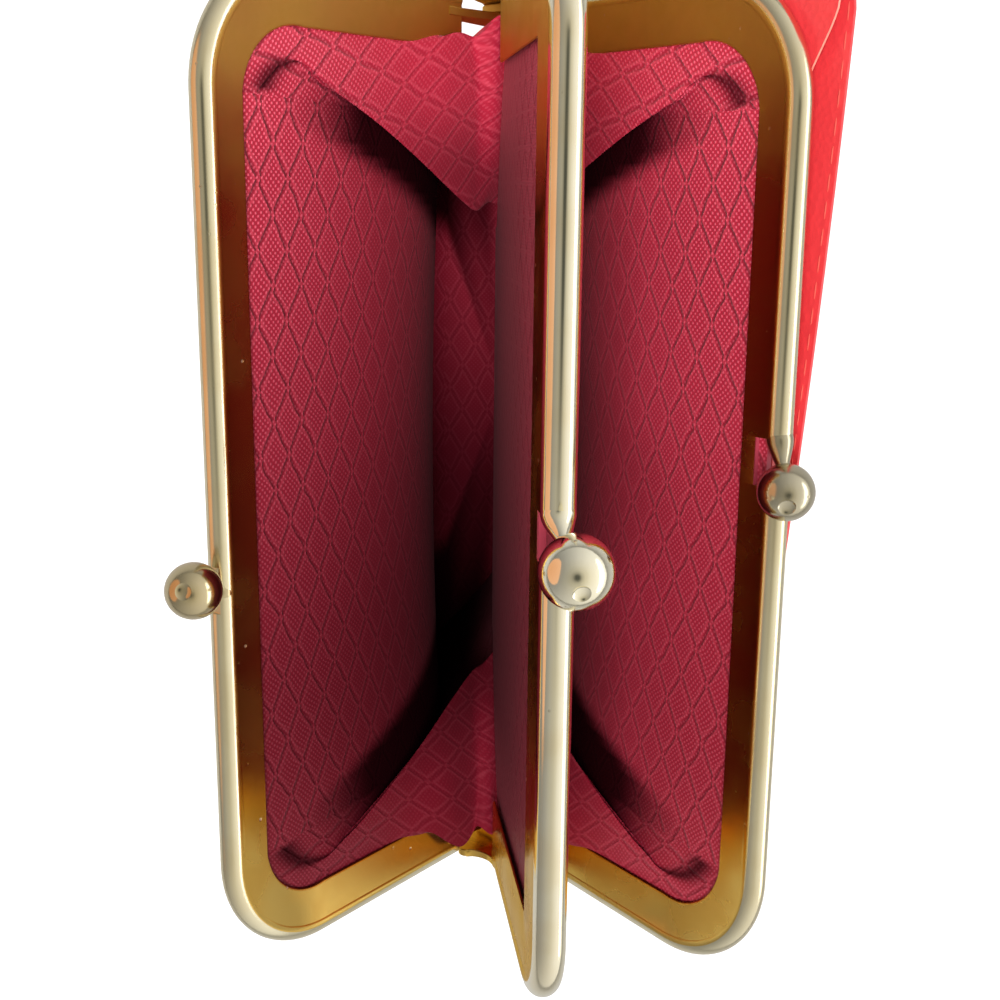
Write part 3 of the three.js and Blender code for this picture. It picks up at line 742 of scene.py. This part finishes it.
def plate_outline():
    corner = (PLATE_HALF - PLATE_CORNER, PLATE_TOP - PLATE_CORNER)
    fillet = (MIDDLE_HALF + PLATE_FILLET, PLATE_TOP + PLATE_FILLET)
    right = arc((0.0, 0.0), EAR_FOOT, 1.5 * math.pi, 2 * math.pi, 13)
    right += arc(corner, PLATE_CORNER, 0, math.pi / 2, 7)
    right += arc(fillet, PLATE_FILLET, 1.5 * math.pi, math.pi, 13)
    right.append(PLATE_TONGUE)
    left = [(-n, h) for n, h in right[:0:-1]]
    return np.array(right + left)


def shrunk(outline, by):
    """The outline moved in by a little, along its own normals."""
    ahead = np.roll(outline, -1, axis=0) - outline
    ahead /= np.linalg.norm(ahead, axis=1)[:, None]
    behind = np.roll(ahead, 1, axis=0)
    inward = np.stack([-(ahead + behind)[:, 1], (ahead + behind)[:, 0]], axis=1)
    inward /= np.linalg.norm(inward, axis=1)[:, None]
    return outline + by * inward


def add_ear(builder, tilt, outline, x0, x1, mark):
    edge = EDGE_ROUND
    loops = []
    for x, by in ((x0, edge), (x0 + edge, 0.0), (x1 - edge, 0.0), (x1, edge)):
        moved = shrunk(outline, by)
        loops.append(beside_frame(tilt, x, moved[:, 1], moved[:, 0]))
    builder.tube(loops, mark, ends=mark)


def frame_piece(key, materials):
    size = FRAMES[key]
    section = channel_section(size["half"])
    lip = np.array([s[0] for s in section])
    inset = np.array([s[1] for s in section])
    off = np.array([s[2] for s in section])
    loops = []
    ball = BALLS[key]
    stations = frame_stations(size, ball["notch"] - size["shift"])
    cap = (~lip) & (inset == CHANNEL_CAP)
    floor = np.where(cap, ball["cut"] + SHEET, ball["cut"])
    for x, h, in_x, in_h, depth, cut in stations:
        deep = np.where(lip, depth + inset, inset)
        deep = np.maximum(deep, floor) if cut else deep
        loops.append(beside_frame(size["tilt"], x + size["shift"] + in_x * deep, h + in_h * deep, off))
    cut = np.array([s[5] for s in stations])
    rounded = ~(lip | cap | (np.abs(off) > size["half"] - BEAD_STEP - 1e-6) & (inset > size["half"]))
    bead = rounded & np.roll(rounded, -1)
    bare = (cut[:-1] * cut[1:])[:, None] * bead[None, :] * (ball["cut"] > SHEET)
    finish = np.where(bare > 0, 1, np.where(bead, 0, 2)[None, :])
    builder = Builder()
    builder.tube(loops, finish.ravel())
    outline = plate_outline() if key == "middle" else ear_outline()
    for side in (-1, 1):
        ends = sorted((side * size["ear"], side * (size["ear"] + EAR_THICKNESS)))
        add_ear(builder, size["tilt"], outline, *ends, mark=2)
    return builder.build("gilt_frame_" + key, materials, sharp=32.0)


def turned(builder, centre, axis, profile, sides=48):
    """A profile of (radius, along) turned about an axis."""
    axis = np.array(axis, float) / np.linalg.norm(axis)
    helper = np.array((1.0, 0.0, 0.0)) if abs(axis[0]) < 0.9 else np.array((0.0, 1.0, 0.0))
    first = np.cross(axis, helper)
    first /= np.linalg.norm(first)
    second = np.cross(axis, first)
    a = np.linspace(0, 2 * math.pi, sides, endpoint=False)
    ring = np.cos(a)[:, None] * first + np.sin(a)[:, None] * second
    loops = [np.asarray(centre) + along * axis + radius * ring for radius, along in profile]
    builder.tube(loops)


def add_neck(builder, size, ball, centre):
    """The neck leaves the bead with the bead's own section and tapers on its way into the ball."""
    bead = size["reach"] - size["half"]
    start = beside_frame(size["tilt"], ball["foot"], bead, 0.0)
    lead_on, lead_up = NECK_LEAD
    lead_x = ball["foot"] + lead_on * np.sign(ball["x"] - ball["foot"])
    lead = beside_frame(size["tilt"], lead_x, bead + lead_up, 0.0)
    s = np.linspace(0, 1, 25)[:, None]
    path = bent(start, lead, centre, s)
    ahead = np.gradient(path, axis=0)
    ahead /= np.linalg.norm(ahead, axis=1)[:, None]
    beside = np.array((0.0, math.cos(size["tilt"]), -math.sin(size["tilt"])))
    wide = beside - ahead * (ahead @ beside)[:, None]
    wide /= np.linalg.norm(wide, axis=1)[:, None]
    deep = np.cross(ahead, wide)
    radius = lerp(size["half"], NECK_TIP, smoothstep(s[:, 0], 0.1, 0.75))
    a = np.linspace(0, 2 * math.pi, 32, endpoint=False)
    ring = np.cos(a)[None, :, None] * wide[:, None] + np.sin(a)[None, :, None] * deep[:, None]
    loops = path[:, None] + radius[:, None, None] * ring
    builder.tube(loops)


def ball_piece(key, material):
    size = FRAMES[key]
    ball = BALLS[key]
    radius = ball["radius"]
    centre = beside_frame(size["tilt"], ball["x"], ball["reach"], ball["off"])
    builder = Builder()
    flat_angle = math.asin(BALL_FLAT / radius)
    rim = radius * math.cos(flat_angle)
    profile = [(0.05, rim - BALL_DIMPLE)]
    profile += [(r * BALL_FLAT, rim - BALL_DIMPLE * (1 - r ** 3)) for r in (0.4, 0.7, 0.9)]
    angles = np.linspace(flat_angle, math.pi - 0.02, 40)
    profile += [(radius * math.sin(a), radius * math.cos(a)) for a in angles]
    turned(builder, centre, ball["flat"], profile)
    add_neck(builder, size, ball, centre)
    return builder.build("ball_" + key, [material], sharp=50.0)


def rivet_piece(name, side, material):
    dome = [(PIN_HEAD * math.cos(a), PIN_HEAD_RISE * math.sin(a)) for a in np.linspace(0, 1.5, 9)]
    profile = [(r, PIN_INSIDE - rise) for r, rise in dome[::-1]]
    profile += [(PIN_RADIUS, PIN_INSIDE), (PIN_RADIUS, PIN_OUTSIDE)]
    profile += [(r, PIN_OUTSIDE + rise) for r, rise in dome]
    builder = Builder()
    turned(builder, (0.0, 0.0, PIVOT), (side, 0.0, 0.0), profile, sides=32)
    return builder.build(name, [material], sharp=50.0)


# Soft walls: one quarter worked out for the back half at the +X end, and mirrored three times
def quarter_columns(legs, corners, bars):
    share = np.linspace(0, 1, legs, endpoint=False) ** 1.15
    angle = np.unique(np.concatenate((np.linspace(0, 90, corners), [SEAM_ANGLE])))
    x = np.linspace(BAR_END, 0, bars + 1)[1:]
    columns = [("leg", s) for s in share] + [("corner", a) for a in angle] + [("bar", p) for p in x]
    seam = columns.index(("corner", SEAM_ANGLE))
    return columns, seam


def rim_point(column, leg_inset, bar_inset, hinge_h):
    kind, value = column
    straight = OUTER_REACH - CORNER_RADIUS
    if kind == "leg":
        return FRAME_LENGTH / 2 - leg_inset, lerp(hinge_h, straight, value)
    if kind == "corner":
        a = math.radians(value)
        radius = CORNER_RADIUS - lerp(leg_inset, bar_inset, value / 90)
        return BAR_END + radius * math.cos(a), straight + radius * math.sin(a)
    return value, OUTER_REACH - bar_inset


def inset_rows(inset, z_steps):
    """The rows below the pins at one layer's depth, smoothed through: z, half, seam, fold."""
    drop, half, seam, fold, floor = BODY_ROWS.T
    corner = np.arctan2(half, seam - fold)
    z = PIVOT - drop + inset * floor
    rows = (half - inset, seam - inset * (1 + np.cos(corner)) / np.sin(corner), fold - inset / np.sin(corner))
    fine = np.unique(np.concatenate((z[:3], np.linspace(z[2], z[-1], z_steps))))
    return np.stack([fine] + [smooth_through(z, row, fine) for row in rows], axis=1)


def across_gusset(kind, value):
    """Share of the way from the seam to the fold, at one column of the gusset."""
    if kind == "corner":
        return CORNER_SHARE * (1 - value / SEAM_ANGLE)
    return CORNER_SHARE + (1 - CORNER_SHARE) * (1 - value)


class WallQuarter:
    """One layer of the soft wall over a quarter of the bag, from the base to inside the channel."""

    def __init__(self, layer, columns, seam_index, steps, shift=0.0, puff=0.0, swell_by=(0.0, 0.0, 0.0)):
        z_steps, rise_steps = steps
        inset, self.offset = LAYERS[layer]
        self.hinge_h = -self.offset * math.cos(OUTER_TILT) / math.sin(OUTER_TILT)
        self.shift = shift
        self.puff = puff
        self.swell_by = np.array(swell_by)
        self.low_rows = inset_rows(inset, z_steps)
        self.t = np.linspace(0, 1, rise_steps + 1)[1:]
        self.seam_mouth = self.mouth(columns[seam_index])
        self.hinge_mouth = self.mouth(columns[0])
        top_z, top_half, top_seam, top_fold = self.low_rows[-1]
        self.seam_low = np.array((top_seam, top_half, top_z))
        self.fold_low = np.array((top_fold, 0.0, top_z))
        self.points = np.stack([self.column_points(column, index <= seam_index)
                                for index, column in enumerate(columns)], axis=1)

    def on_rim(self, column, leg_inset, bar_inset):
        """A point of the rim, lifted and drawn out towards the hinge."""
        x, h = rim_point(column, leg_inset, bar_inset, self.hinge_h)
        rise = 1.0 - float(smoothstep(h, self.hinge_h, HINGE_UNTIL))
        moved = self.shift * (x / BAR_END if column[0] == "bar" else 1.0)
        lift = np.array((lerp(moved, HINGE_OUT, rise), 0.0, rise * HINGE_UP))
        return beside_frame(OUTER_TILT, x, h, self.offset) + lift

    def mouth(self, column):
        return self.on_rim(column, LEG_DEPTH, BAR_DEPTH)

    def rise_between(self, start, end):
        """The way up from the body's wall to the mouth, ending along the frame's plane."""
        middle = (start[0] + end[0]) / 2
        bend = beside_frame(OUTER_TILT, middle, start[1] / math.sin(OUTER_TILT), self.offset)
        return bent(start, bend, end, self.t[:, None])

    def low_wall(self, along, across):
        """The wall below the pins at one column."""
        z, half, seam, fold = self.low_rows.T
        y = (half + PANEL_BOW * (1 - along ** 2)) * (1 - across) ** GUSSET_HOLLOW
        return stack(lerp(seam * along, fold, across), y, z)

    def gusset_rise(self, low, mouth, across):
        """The gusset above the pins: it follows the seam, folds inwards on a crease and puffs out there."""
        t = self.t
        seam_rise = self.rise_between(self.seam_low, self.seam_mouth)
        seam_chord = self.seam_low + t[:, None] * (self.seam_mouth - self.seam_low)
        rising = low + t[:, None] * (mouth - low) + (1 - across) * (seam_rise - seam_chord)
        crease = self.seam_mouth + self.fold_low - self.seam_low - self.hinge_mouth
        off_crease = across + t - 1
        fold_round = FOLD_ROUND * inside(across) * inside(t)
        tent = (across * t + (1 - across) * (1 - t) - np.sqrt(off_crease ** 2 + fold_round ** 2)) / 2
        rising = rising + (GUSSET_FOLD * tent)[:, None] * crease
        below, above = PUFF_SPREAD
        swell = self.puff * np.exp(-(off_crease / np.where(off_crease > 0, above, below)) ** 2)
        swell = swell * hump(across, *PUFF_ACROSS) * hump(t, *PUFF_UP)
        return rising + swell[:, None] * np.array(PUFF_WAY)

    def hinge_swelling(self, h):
        """How far the cloth swells over the leg at one height beside the hinge."""
        middle, spread = HINGE_SWELL
        near = math.exp(-((h - middle) / spread) ** 2)
        away = float(smoothstep(h, self.hinge_h, HINGE_UNTIL))
        grow = np.array((near ** 2, away * near ** 0.6, near ** 0.6))
        return lerp(HINGE_SWELL_FOOT, 1.0, away) * grow * self.swell_by

    def column_points(self, column, in_gusset):
        """One column of points: up the body, on to the mouth and into the channel."""
        kind, value = column
        mouth = self.mouth(column)
        across = across_gusset(kind, value) if in_gusset else 0.0
        along = 1.0 if in_gusset else mouth[0] / self.seam_mouth[0]
        low = self.low_wall(along, across)
        rising = self.gusset_rise(low[-1], mouth, across) if in_gusset else self.rise_between(low[-1], mouth)
        grip = 1.0
        if kind == "leg":
            _, h = rim_point(column, LEG_DEPTH, BAR_DEPTH, self.hinge_h)
            rising = rising + smoothstep(self.t, *HINGE_SWELL_RISE)[:, None] * self.hinge_swelling(h)
            grip = float(smoothstep(h, *LIP_RISE))
        flange = self.on_rim(column, lerp(LEG_DEPTH - HINGE_LIP, FLANGE_INSET, grip), FLANGE_INSET)
        lip = mouth + LIP_SHARE * (flange - mouth)
        return np.concatenate((low, rising, lip[None], flange[None]))


def gusset_light(across, t):
    """How open the gusset lies at one column: painted shade below its crease, with a painted shadow line
    along it.
    """
    off_crease = across + t - 1
    soft = lerp(*FOLD_SOFT, smoothstep(t, *FOLD_SOFT_RISE))
    under = 1 - smoothstep(off_crease, soft, FOLD_TOP)
    below = lerp(*LINE_BELOW, smoothstep(across, *LINE_CORNER))
    off_line = off_crease - LINE_PLACE
    line = FOLD_LINE * np.exp(-(off_line / np.where(off_line < 0, below, LINE_ABOVE)) ** 2)
    return 1 - np.maximum((1 - smoothstep(t, *FOLD_DEEP)) * under, line)


def panel_light(along, t):
    """How open the panel lies at one column: painted shadow beside the crease that slants in from its corner.
    """
    near = (1.0 - along - FOLD_SLANT * (1 - t)) / lerp(*FOLD_SHADOW, t)
    return 1 - (1 - smoothstep(near, 0.0, 1.0)) * (1 - smoothstep(t, *FOLD_SHADOW_END))


def fold_light(columns, seam_index, rows, rise_steps):
    """How open each point of a quarter lies to the light, given as painted shade in the lining's colour."""
    t = np.concatenate((np.zeros(rows - rise_steps - 2), np.linspace(0, 1, rise_steps + 1)[1:], (1.0, 1.0)))
    out = []
    for index, (kind, value) in enumerate(columns):
        if index < seam_index:
            out.append(gusset_light(across_gusset(kind, value), t))
        else:
            out.append(panel_light(1.0 if kind == "corner" else value / BAR_END, t))
    return np.stack(out, axis=1)


def wall_uv(points, seam_index):
    """Layout in millimetres: panels by x and the length up the wall, gussets by their own two directions."""
    panel = np.stack((points[..., 0], lengths_along(points)), axis=-1)
    gusset = np.stack((points @ GUSSET_UP, points @ GUSSET_INWARD), axis=-1)
    return gusset[:, :seam_index + 1], panel[:, seam_index:]


def add_wall(builder, layer, density, outward, swollen):
    """The four quarters of one layer with its base, by x side and y side."""
    legs, corners, bars, z_steps, rise_steps = density
    columns, seam = quarter_columns(legs, corners, bars)
    walls = {}
    for sx in (1, -1):
        folds = (GUSSET_PUFF[sx], HINGE_SWELL_BY[sx]) if swollen else ()
        for sy in (1, -1):
            shift = sx * BACK_SHIFT if sy > 0 else 0.0
            quarter = WallQuarter(layer, columns, seam, (z_steps, rise_steps), shift, *folds).points
            gusset_uv, panel_uv = wall_uv(quarter, seam)
            points = quarter * np.array((sx, sy, 1.0))
            flip = (sx * sy > 0) == outward
            panel = panel_uv * np.array((sx, 1.0))
            lit = fold_light(columns, seam, len(points), rise_steps)
            builder.grid(points[:, :seam + 1], uv=gusset_uv, flip=flip, lit=lit[:, :seam + 1])
            builder.grid(points[:, seam:], uv=panel, flip=flip, lit=lit[:, seam:])
            base = points[0] * stack(BASE_RINGS, BASE_RINGS, 1.0)[:, None]
            builder.grid(base, uv=base[..., :2], flip=flip, lit=lerp(1.0, lit[0], BASE_RINGS[:, None]))
            walls[sx, sy] = points
    return walls


def close_rim(builder, outer, inner):
    for (sx, sy), points in outer.items():
        builder.grid(np.stack((points[-1], inner[sx, sy][-1])), flip=sx * sy > 0)


def bag_piece(name, layers, density, material, swollen=False):
    """A bag of two layers, closed along the rim; each layer says whether it faces outwards."""
    builder = Builder()
    walls = {outward: add_wall(builder, layer, density, outward, swollen) for layer, outward in layers}
    close_rim(builder, walls[True], walls[False])
    return builder.build(name, [material], sharp=60.0)


def border(points):
    """The points round the edge of a grid."""
    return np.concatenate((points[0, :-1], points[:-1, -1], points[-1, :0:-1], points[:0:-1, 0]))


def add_sheet(builder, face, back, uv=None, edge_mark=0):
    """A sheet with a face, a back and an edge all round."""
    builder.grid(face, uv=uv)
    builder.grid(back, uv=uv, flip=True)
    builder.grid(np.stack((border(back), border(face))), looped=True, mark=edge_mark)


def divider_outline():
    """The divider's heights from its foot into the channel of the bar, and its half width at each."""
    straight = MIDDLE_REACH - MIDDLE_CORNER
    slot = FRAME_LENGTH / 2 - FLANGE_INSET
    opened = FRAME_LENGTH / 2 - LEG_DEPTH - DIVIDER_MARGIN
    low, high = DIVIDER_SHOULDER
    lip, gripped = LIP_RISE
    foot = DIVIDER_FOOT_ROUND
    turn = np.linspace(0, math.pi / 2, 12)
    round_in = MIDDLE_CORNER - FLANGE_INSET
    h = np.concatenate((np.linspace(-DIVIDER_FLOOR, low, 24), np.linspace(low, high, 10)[1:],
                        np.linspace(high, lip, 3)[1:], np.linspace(lip, gripped, 5)[1:],
                        np.linspace(gripped, straight, 14)[1:], straight + round_in * np.sin(turn[1:])))
    known = [(-DIVIDER_FLOOR, DIVIDER_LOWER - foot), (-DIVIDER_FLOOR + foot, DIVIDER_LOWER),
             (low, DIVIDER_LOWER), (high, opened), (lip, opened), (gripped, slot), (straight, slot)]
    reach = np.interp(h, [k[0] for k in known], [k[1] for k in known])
    past = np.clip((h - straight) / round_in, 0, 1)
    rounded = FRAME_LENGTH / 2 - MIDDLE_CORNER + round_in * np.sqrt(1 - past ** 2)
    return h, np.where(h > straight, rounded, reach)


def divider_piece(material):
    h, reach = divider_outline()
    lean = math.sin(MIDDLE_TILT)
    eased = np.maximum(h + DIVIDER_BEND, 0) ** 2 / (4 * DIVIDER_BEND)
    y = lean * np.where(h > DIVIDER_BEND, h, eased)
    z = PIVOT + np.where(h > 0, h * math.cos(MIDDLE_TILT), h)
    share = np.linspace(-1, 1, 61)
    x = reach[:, None] * share[None, :]
    climb = np.concatenate(([0], np.cumsum(np.hypot(np.diff(y), np.diff(z)))))
    uv = np.stack(np.broadcast_arrays(x, climb[:, None]), axis=-1)
    off = DIVIDER_HALF * math.cos(MIDDLE_TILT)
    builder = Builder()
    add_sheet(builder, stack(x, y[:, None] - off, z[:, None]), stack(x, y[:, None] + off, z[:, None]), uv)
    return builder.build("divider_sheet", [material], sharp=60.0)


# Back leaves: two loose leaves that follow the back of the body up behind the back frame
def inner_edge(x):
    return INNER_EDGE + INNER_LIFT * smoothstep(-x, *INNER_LIFT_ALONG)


def outer_edge(x):
    return OUTER_EDGE - OUTER_SLOPE * x


LEAVES = {
    "inner": dict(face=(-0.4, 1.65), back=(-1.4, 2.65), edge=inner_edge),
    "outer": dict(face=(-1.85, 3.1), back=(-3.05, 4.3), edge=outer_edge),
}


def corner_drop(x):
    past = np.maximum(np.abs(x) - LEAF_HALF + LEAF_CORNER, 0)
    return LEAF_CORNER - np.sqrt(LEAF_CORNER ** 2 - past ** 2)


def back_profile(inset, offset):
    """The back's upright profile at one layer: lengths, y and z, and the length at the frame's mouth."""
    rows = inset_rows(inset, 20)
    yz = rows[1:, [1, 0]]
    start = yz[-1]
    bend = beside_frame(OUTER_TILT, 0.0, start[0] / math.sin(OUTER_TILT), offset)[1:]
    mouth = beside_frame(OUTER_TILT, 0.0, OUTER_REACH - BAR_DEPTH, offset)[1:]
    past = beside_frame(OUTER_TILT, 0.0, OUTER_REACH + 2 * BAR_DEPTH, offset)[1:]
    t = np.linspace(0, 1, 31)[1:, None]
    yz = np.concatenate((yz, bent(start, bend, mouth, t), past[None]))
    length = lengths_along(yz)
    return length, yz, length[-2]


def leaf_top(mouth, edge, x):
    """The length up the back at which a leaf ends."""
    return mouth + edge(x) - OUTER_REACH + BAR_DEPTH - corner_drop(x)


def leaf_surface(layer, edge, x, s):
    length, yz, mouth = back_profile(*layer)
    bottom = LEAF_FOOT + LEAF_FOOT_ROUND * corner_drop(x)
    at = lerp(bottom, leaf_top(mouth, edge, x), s)
    y = np.interp(at, length, yz[:, 0]) + PANEL_BOW * (1 - (x / LEAF_HALF) ** 2)
    return stack(x, y, np.interp(at, length, yz[:, 1]))


def leaf_piece(key, materials):
    leaf = LEAVES[key]
    share = np.sin(np.linspace(-math.pi / 2, math.pi / 2, 81))
    x = (LEAF_HALF * share)[None, :]
    s = np.linspace(0, 1, 61)[:, None]
    back = leaf_surface(leaf["back"], leaf["edge"], x, s)
    face = leaf_surface(leaf["face"], leaf["edge"], x, s)
    skived_from, skived_by = LEAF_SKIVED
    skived = face + (back - face) * (1 - skived_by * smoothstep(s, skived_from, 1.0))[..., None]
    builder = Builder()
    add_sheet(builder, skived, face, edge_mark=1)
    return builder.build("leaf_" + key, materials, sharp=50.0)


def stitch_tree(material):
    """Stitches laid along a curve: length, step and thickness are the tree's inputs."""
    sizes = [(label, "NodeSocketFloat", None) for label in ("Step", "Length", "Radius")]
    tree, given, gives = new_group("stitches_along", [("Geometry", "NodeSocketGeometry", None)] + sizes,
                                   [("Geometry", "NodeSocketGeometry")], "GeometryNodeTree")
    spaced = {"Curve": given["Geometry"], "Length": given["Step"]}
    points = node_of(tree, "GeometryNodeCurveToPoints", spaced, mode="LENGTH")
    along = {"Vector": points["Tangent"]}
    size = {0: given["Radius"], 1: given["Radius"], 2: maths(tree, "MULTIPLY", given["Length"], 0.5)}
    stitches = node_of(tree, "GeometryNodeInstanceOnPoints", {
        "Points": points["Points"],
        "Instance": node_of(tree, "GeometryNodeMeshUVSphere", {"Segments": 8, "Rings": 6})["Mesh"],
        "Rotation": node_of(tree, "FunctionNodeAlignRotationToVector", along, axis="Z")["Rotation"],
        "Scale": node_of(tree, "ShaderNodeCombineXYZ", size)[0],
    })
    solid = node_of(tree, "GeometryNodeRealizeInstances", {"Geometry": stitches["Instances"]})
    painted = node_of(tree, "GeometryNodeSetMaterial", {"Geometry": solid["Geometry"], "Material": material})
    fill(tree, gives, {"Geometry": painted["Geometry"]})
    return tree


def stitched(name, path, tree, material):
    """A row of stitches along a path of points in millimetres, as a plain mesh."""
    curve = bpy.data.curves.new(name + "_path", "CURVE")
    curve.dimensions = "3D"
    line = curve.splines.new("POLY")
    line.points.add(len(path) - 1)
    line.points.foreach_set("co", np.concatenate((path * MM, np.ones((len(path), 1))), axis=1).ravel())
    carrier = placed(name + "_path", curve)
    modifier = carrier.modifiers.new("stitches", "NODES")
    modifier.node_group = tree
    sizes = {"Step": STITCH_STEP * MM, "Length": STITCH_LENGTH * MM, "Radius": STITCH_RADIUS * MM}
    for item in tree.interface.items_tree:
        if item.in_out == "INPUT" and item.name in sizes:
            modifier[item.identifier] = sizes[item.name]
    mesh = bpy.data.meshes.new_from_object(carrier.evaluated_get(bpy.context.evaluated_depsgraph_get()))
    bpy.data.objects.remove(carrier)
    mesh.name = name
    mesh.polygons.foreach_set("use_smooth", np.ones(len(mesh.polygons), dtype=bool))
    if not mesh.materials:
        mesh.materials.append(material)
    return placed(name, mesh)


def leaf_stitches(tree, material):
    leaf = LEAVES["outer"]
    x = np.linspace(-LEAF_HALF + STITCH_MARGIN, LEAF_HALF - STITCH_MARGIN, 200)
    _, _, mouth = back_profile(*leaf["face"])
    reach = leaf_top(mouth, leaf["edge"], x) - LEAF_FOOT
    path = leaf_surface(leaf["face"], leaf["edge"], x, 1.0 - STITCH_INSET / reach)
    return stitched("leaf_stitches", path, tree, material)


# Stage: camera, lights and floor
def camera():
    right, down, forward = (Vector(way) for way in (CAMERA_RIGHT, CAMERA_DOWN, CAMERA_FORWARD))
    piece = placed("camera", bpy.data.cameras.new("camera"))
    place = Matrix((right, -down, -forward)).transposed().to_4x4()
    place.translation = Vector(CAMERA_PLACE) * MM
    piece.matrix_world = place
    piece.data.lens = CAMERA_LENS
    piece.data.sensor_width = CAMERA_SENSOR
    piece.data.clip_start = CAMERA_CLIP
    bpy.context.scene.camera = piece


def area_light(name, place, target, size, energy, colour=(1, 1, 1), mirrored=True, spread=True):
    """A soft lamp; mirrored lamps show in the metal, and spread ones light what isn't shiny."""
    light = bpy.data.lights.new(name, "AREA")
    light.shape = "ELLIPSE"
    light.size, light.size_y = size
    light.energy = energy
    light.color = colour
    piece = placed(name, light)
    piece.location = place
    piece.rotation_euler = (Vector(place) - Vector(target)).to_track_quat("Z", "Y").to_euler()
    piece.visible_glossy = mirrored
    piece.visible_diffuse = spread


def surroundings():
    """A room that is bright low down, most of all at +X and +Y, grey higher up and dark overhead."""
    world = bpy.data.worlds.new("room")
    bpy.context.scene.world = world
    world.use_nodes = True
    tree = world.node_tree
    way = node_of(tree, "ShaderNodeTexCoord")["Generated"]
    lean = node_of(tree, "ShaderNodeVectorMath", {0: way, 1: ROOM_LEAN}, operation="DOT_PRODUCT")["Value"]
    fill(tree, tree.nodes["Background"], {
        "Color": colour_ramp(tree, parts_of(tree, way)[2], ROOM_COLOURS),
        "Strength": maths(tree, "MULTIPLY_ADD", lean, ROOM_STRENGTH, ROOM_STRENGTH),
    })


def floor():
    builder = Builder()
    across = np.array((-FLOOR_HALF, FLOOR_HALF))
    builder.grid(stack(across[None, :], across[:, None], -FLOOR_DROP))
    material, tree, shader = new_material("floor_white")
    seen = node_of(tree, "ShaderNodeLightPath")["Is Camera Ray"]
    fill(tree, shader, {
        "Base Color": (FLOOR_SHADE,) * 3 + (1,),
        "Roughness": 0.9,
        "Emission Color": (1, 1, 1, 1),
        "Emission Strength": maths(tree, "MULTIPLY", seen, FLOOR_GLOW),
    })
    builder.build("floor", [material], turn=False)


def stand_for(piece, node):
    """Hangs the piece under the root and hides the solid that it replaces; nothing moves against the root."""
    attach(piece, "root")
    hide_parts(node)
    return piece


weave = weave_group()
wear = wear_group()
grain = grain_group()
bead = metal("gilt_bead", wear, (0.82, 0.75, 0.54), (0.78, 0.69, 0.47), 0.18, 0.08, 0.1)
bright_bead = metal("bright_bead", wear, (0.92, 0.87, 0.7), (0.88, 0.8, 0.6), 0.1, 0.06, 0.12)
# The flats are the same gilt as the bead; their deeper amber tint is a painted reflection of gold in gold
flat = metal("gilt_flat", wear, (0.84, 0.57, 0.16), (0.78, 0.5, 0.12), 0.2, 0.1, 0.1, pit=(0.9, 0.66, 0.52),
             edge=(0.8, 0.67, 0.42), matt=0.36)
balls = {
    "front": metal("gold_ball", wear, (0.6, 0.51, 0.32), (0.55, 0.46, 0.28), 0.14, 0.06, 0.2),
    "middle": metal("ivory_ball", wear, (0.96, 0.92, 0.76), (0.92, 0.86, 0.66), 0.1, 0.05, 0.2),
    "back": metal("grey_ball", wear, (0.58, 0.53, 0.4), (0.5, 0.45, 0.32), 0.18, 0.08, 0.4),
}
burgundy = cloth("burgundy_cloth", weave)
red = leather("red_leather", grain, (0.58, 0.03, 0.037), (0.68, 0.045, 0.053), 0.4, 0.00005)
raw_edge = leather("raw_edge", grain, (0.72, 0.2, 0.15), (0.8, 0.32, 0.25), 0.7, 0.0001)
thread = plain("thread", (0.66, 0.08, 0.065), 0.6)

for key in FRAMES:
    stand_for(frame_piece(key, [bright_bead if key == "middle" else bead, burgundy, flat]),
              "frame_" + key)
    stand_for(ball_piece(key, balls[key]), "clasp_ball_" + key)
for end, side in (("a", -1), ("b", 1)):
    stand_for(rivet_piece("rivet_" + end, side, bead), "hinge_rivet_" + end)

lining = bag_piece("lining_bag", (("lining_face", False), ("lining_back", True)), LINING_DENSITY, burgundy,
                   swollen=True)
stand_for(lining, "lining")

# The divider wears the lining's cloth, darkened by painted shade
divider = stand_for(divider_piece(cloth("divider_cloth", weave, DIVIDER_SHADE)), "divider")

bag = bag_piece("leather_bag", (("leather_skin", True), ("leather_back", False)), LEATHER_DENSITY, red)
stand_for(bag, "leather_body")

for key in LEAVES:
    leaf = leaf_piece(key, [red, raw_edge if key == "inner" else red])
    stand_for(leaf, "back_leaf_" + key)
stitches = leaf_stitches(stitch_tree(thread), thread)
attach(stitches, "root")

camera()
surroundings()
floor()
area_light("key", (0.0, -0.03, 0.60), (0.0, 0.0, 0.07), (0.3, 0.3), 4.6, mirrored=False)
area_light("side_strip", (0.02, 0.42, 0.20), (0.0, 0.0, 0.08), (0.7, 0.1), 0.5, spread=False)
area_light("low_fill", (0.04, -0.42, 0.20), (0.0, 0.0, 0.06), (0.7, 0.2), 0.7, mirrored=False)
area_light("warm_fill", (-0.05, -0.45, 0.22), (0.0, 0.0, 0.08), (0.6, 0.4), 0.36, (1.0, 0.37, 0.07),
           spread=False)
bpy.context.scene.view_settings.view_transform = "Standard"
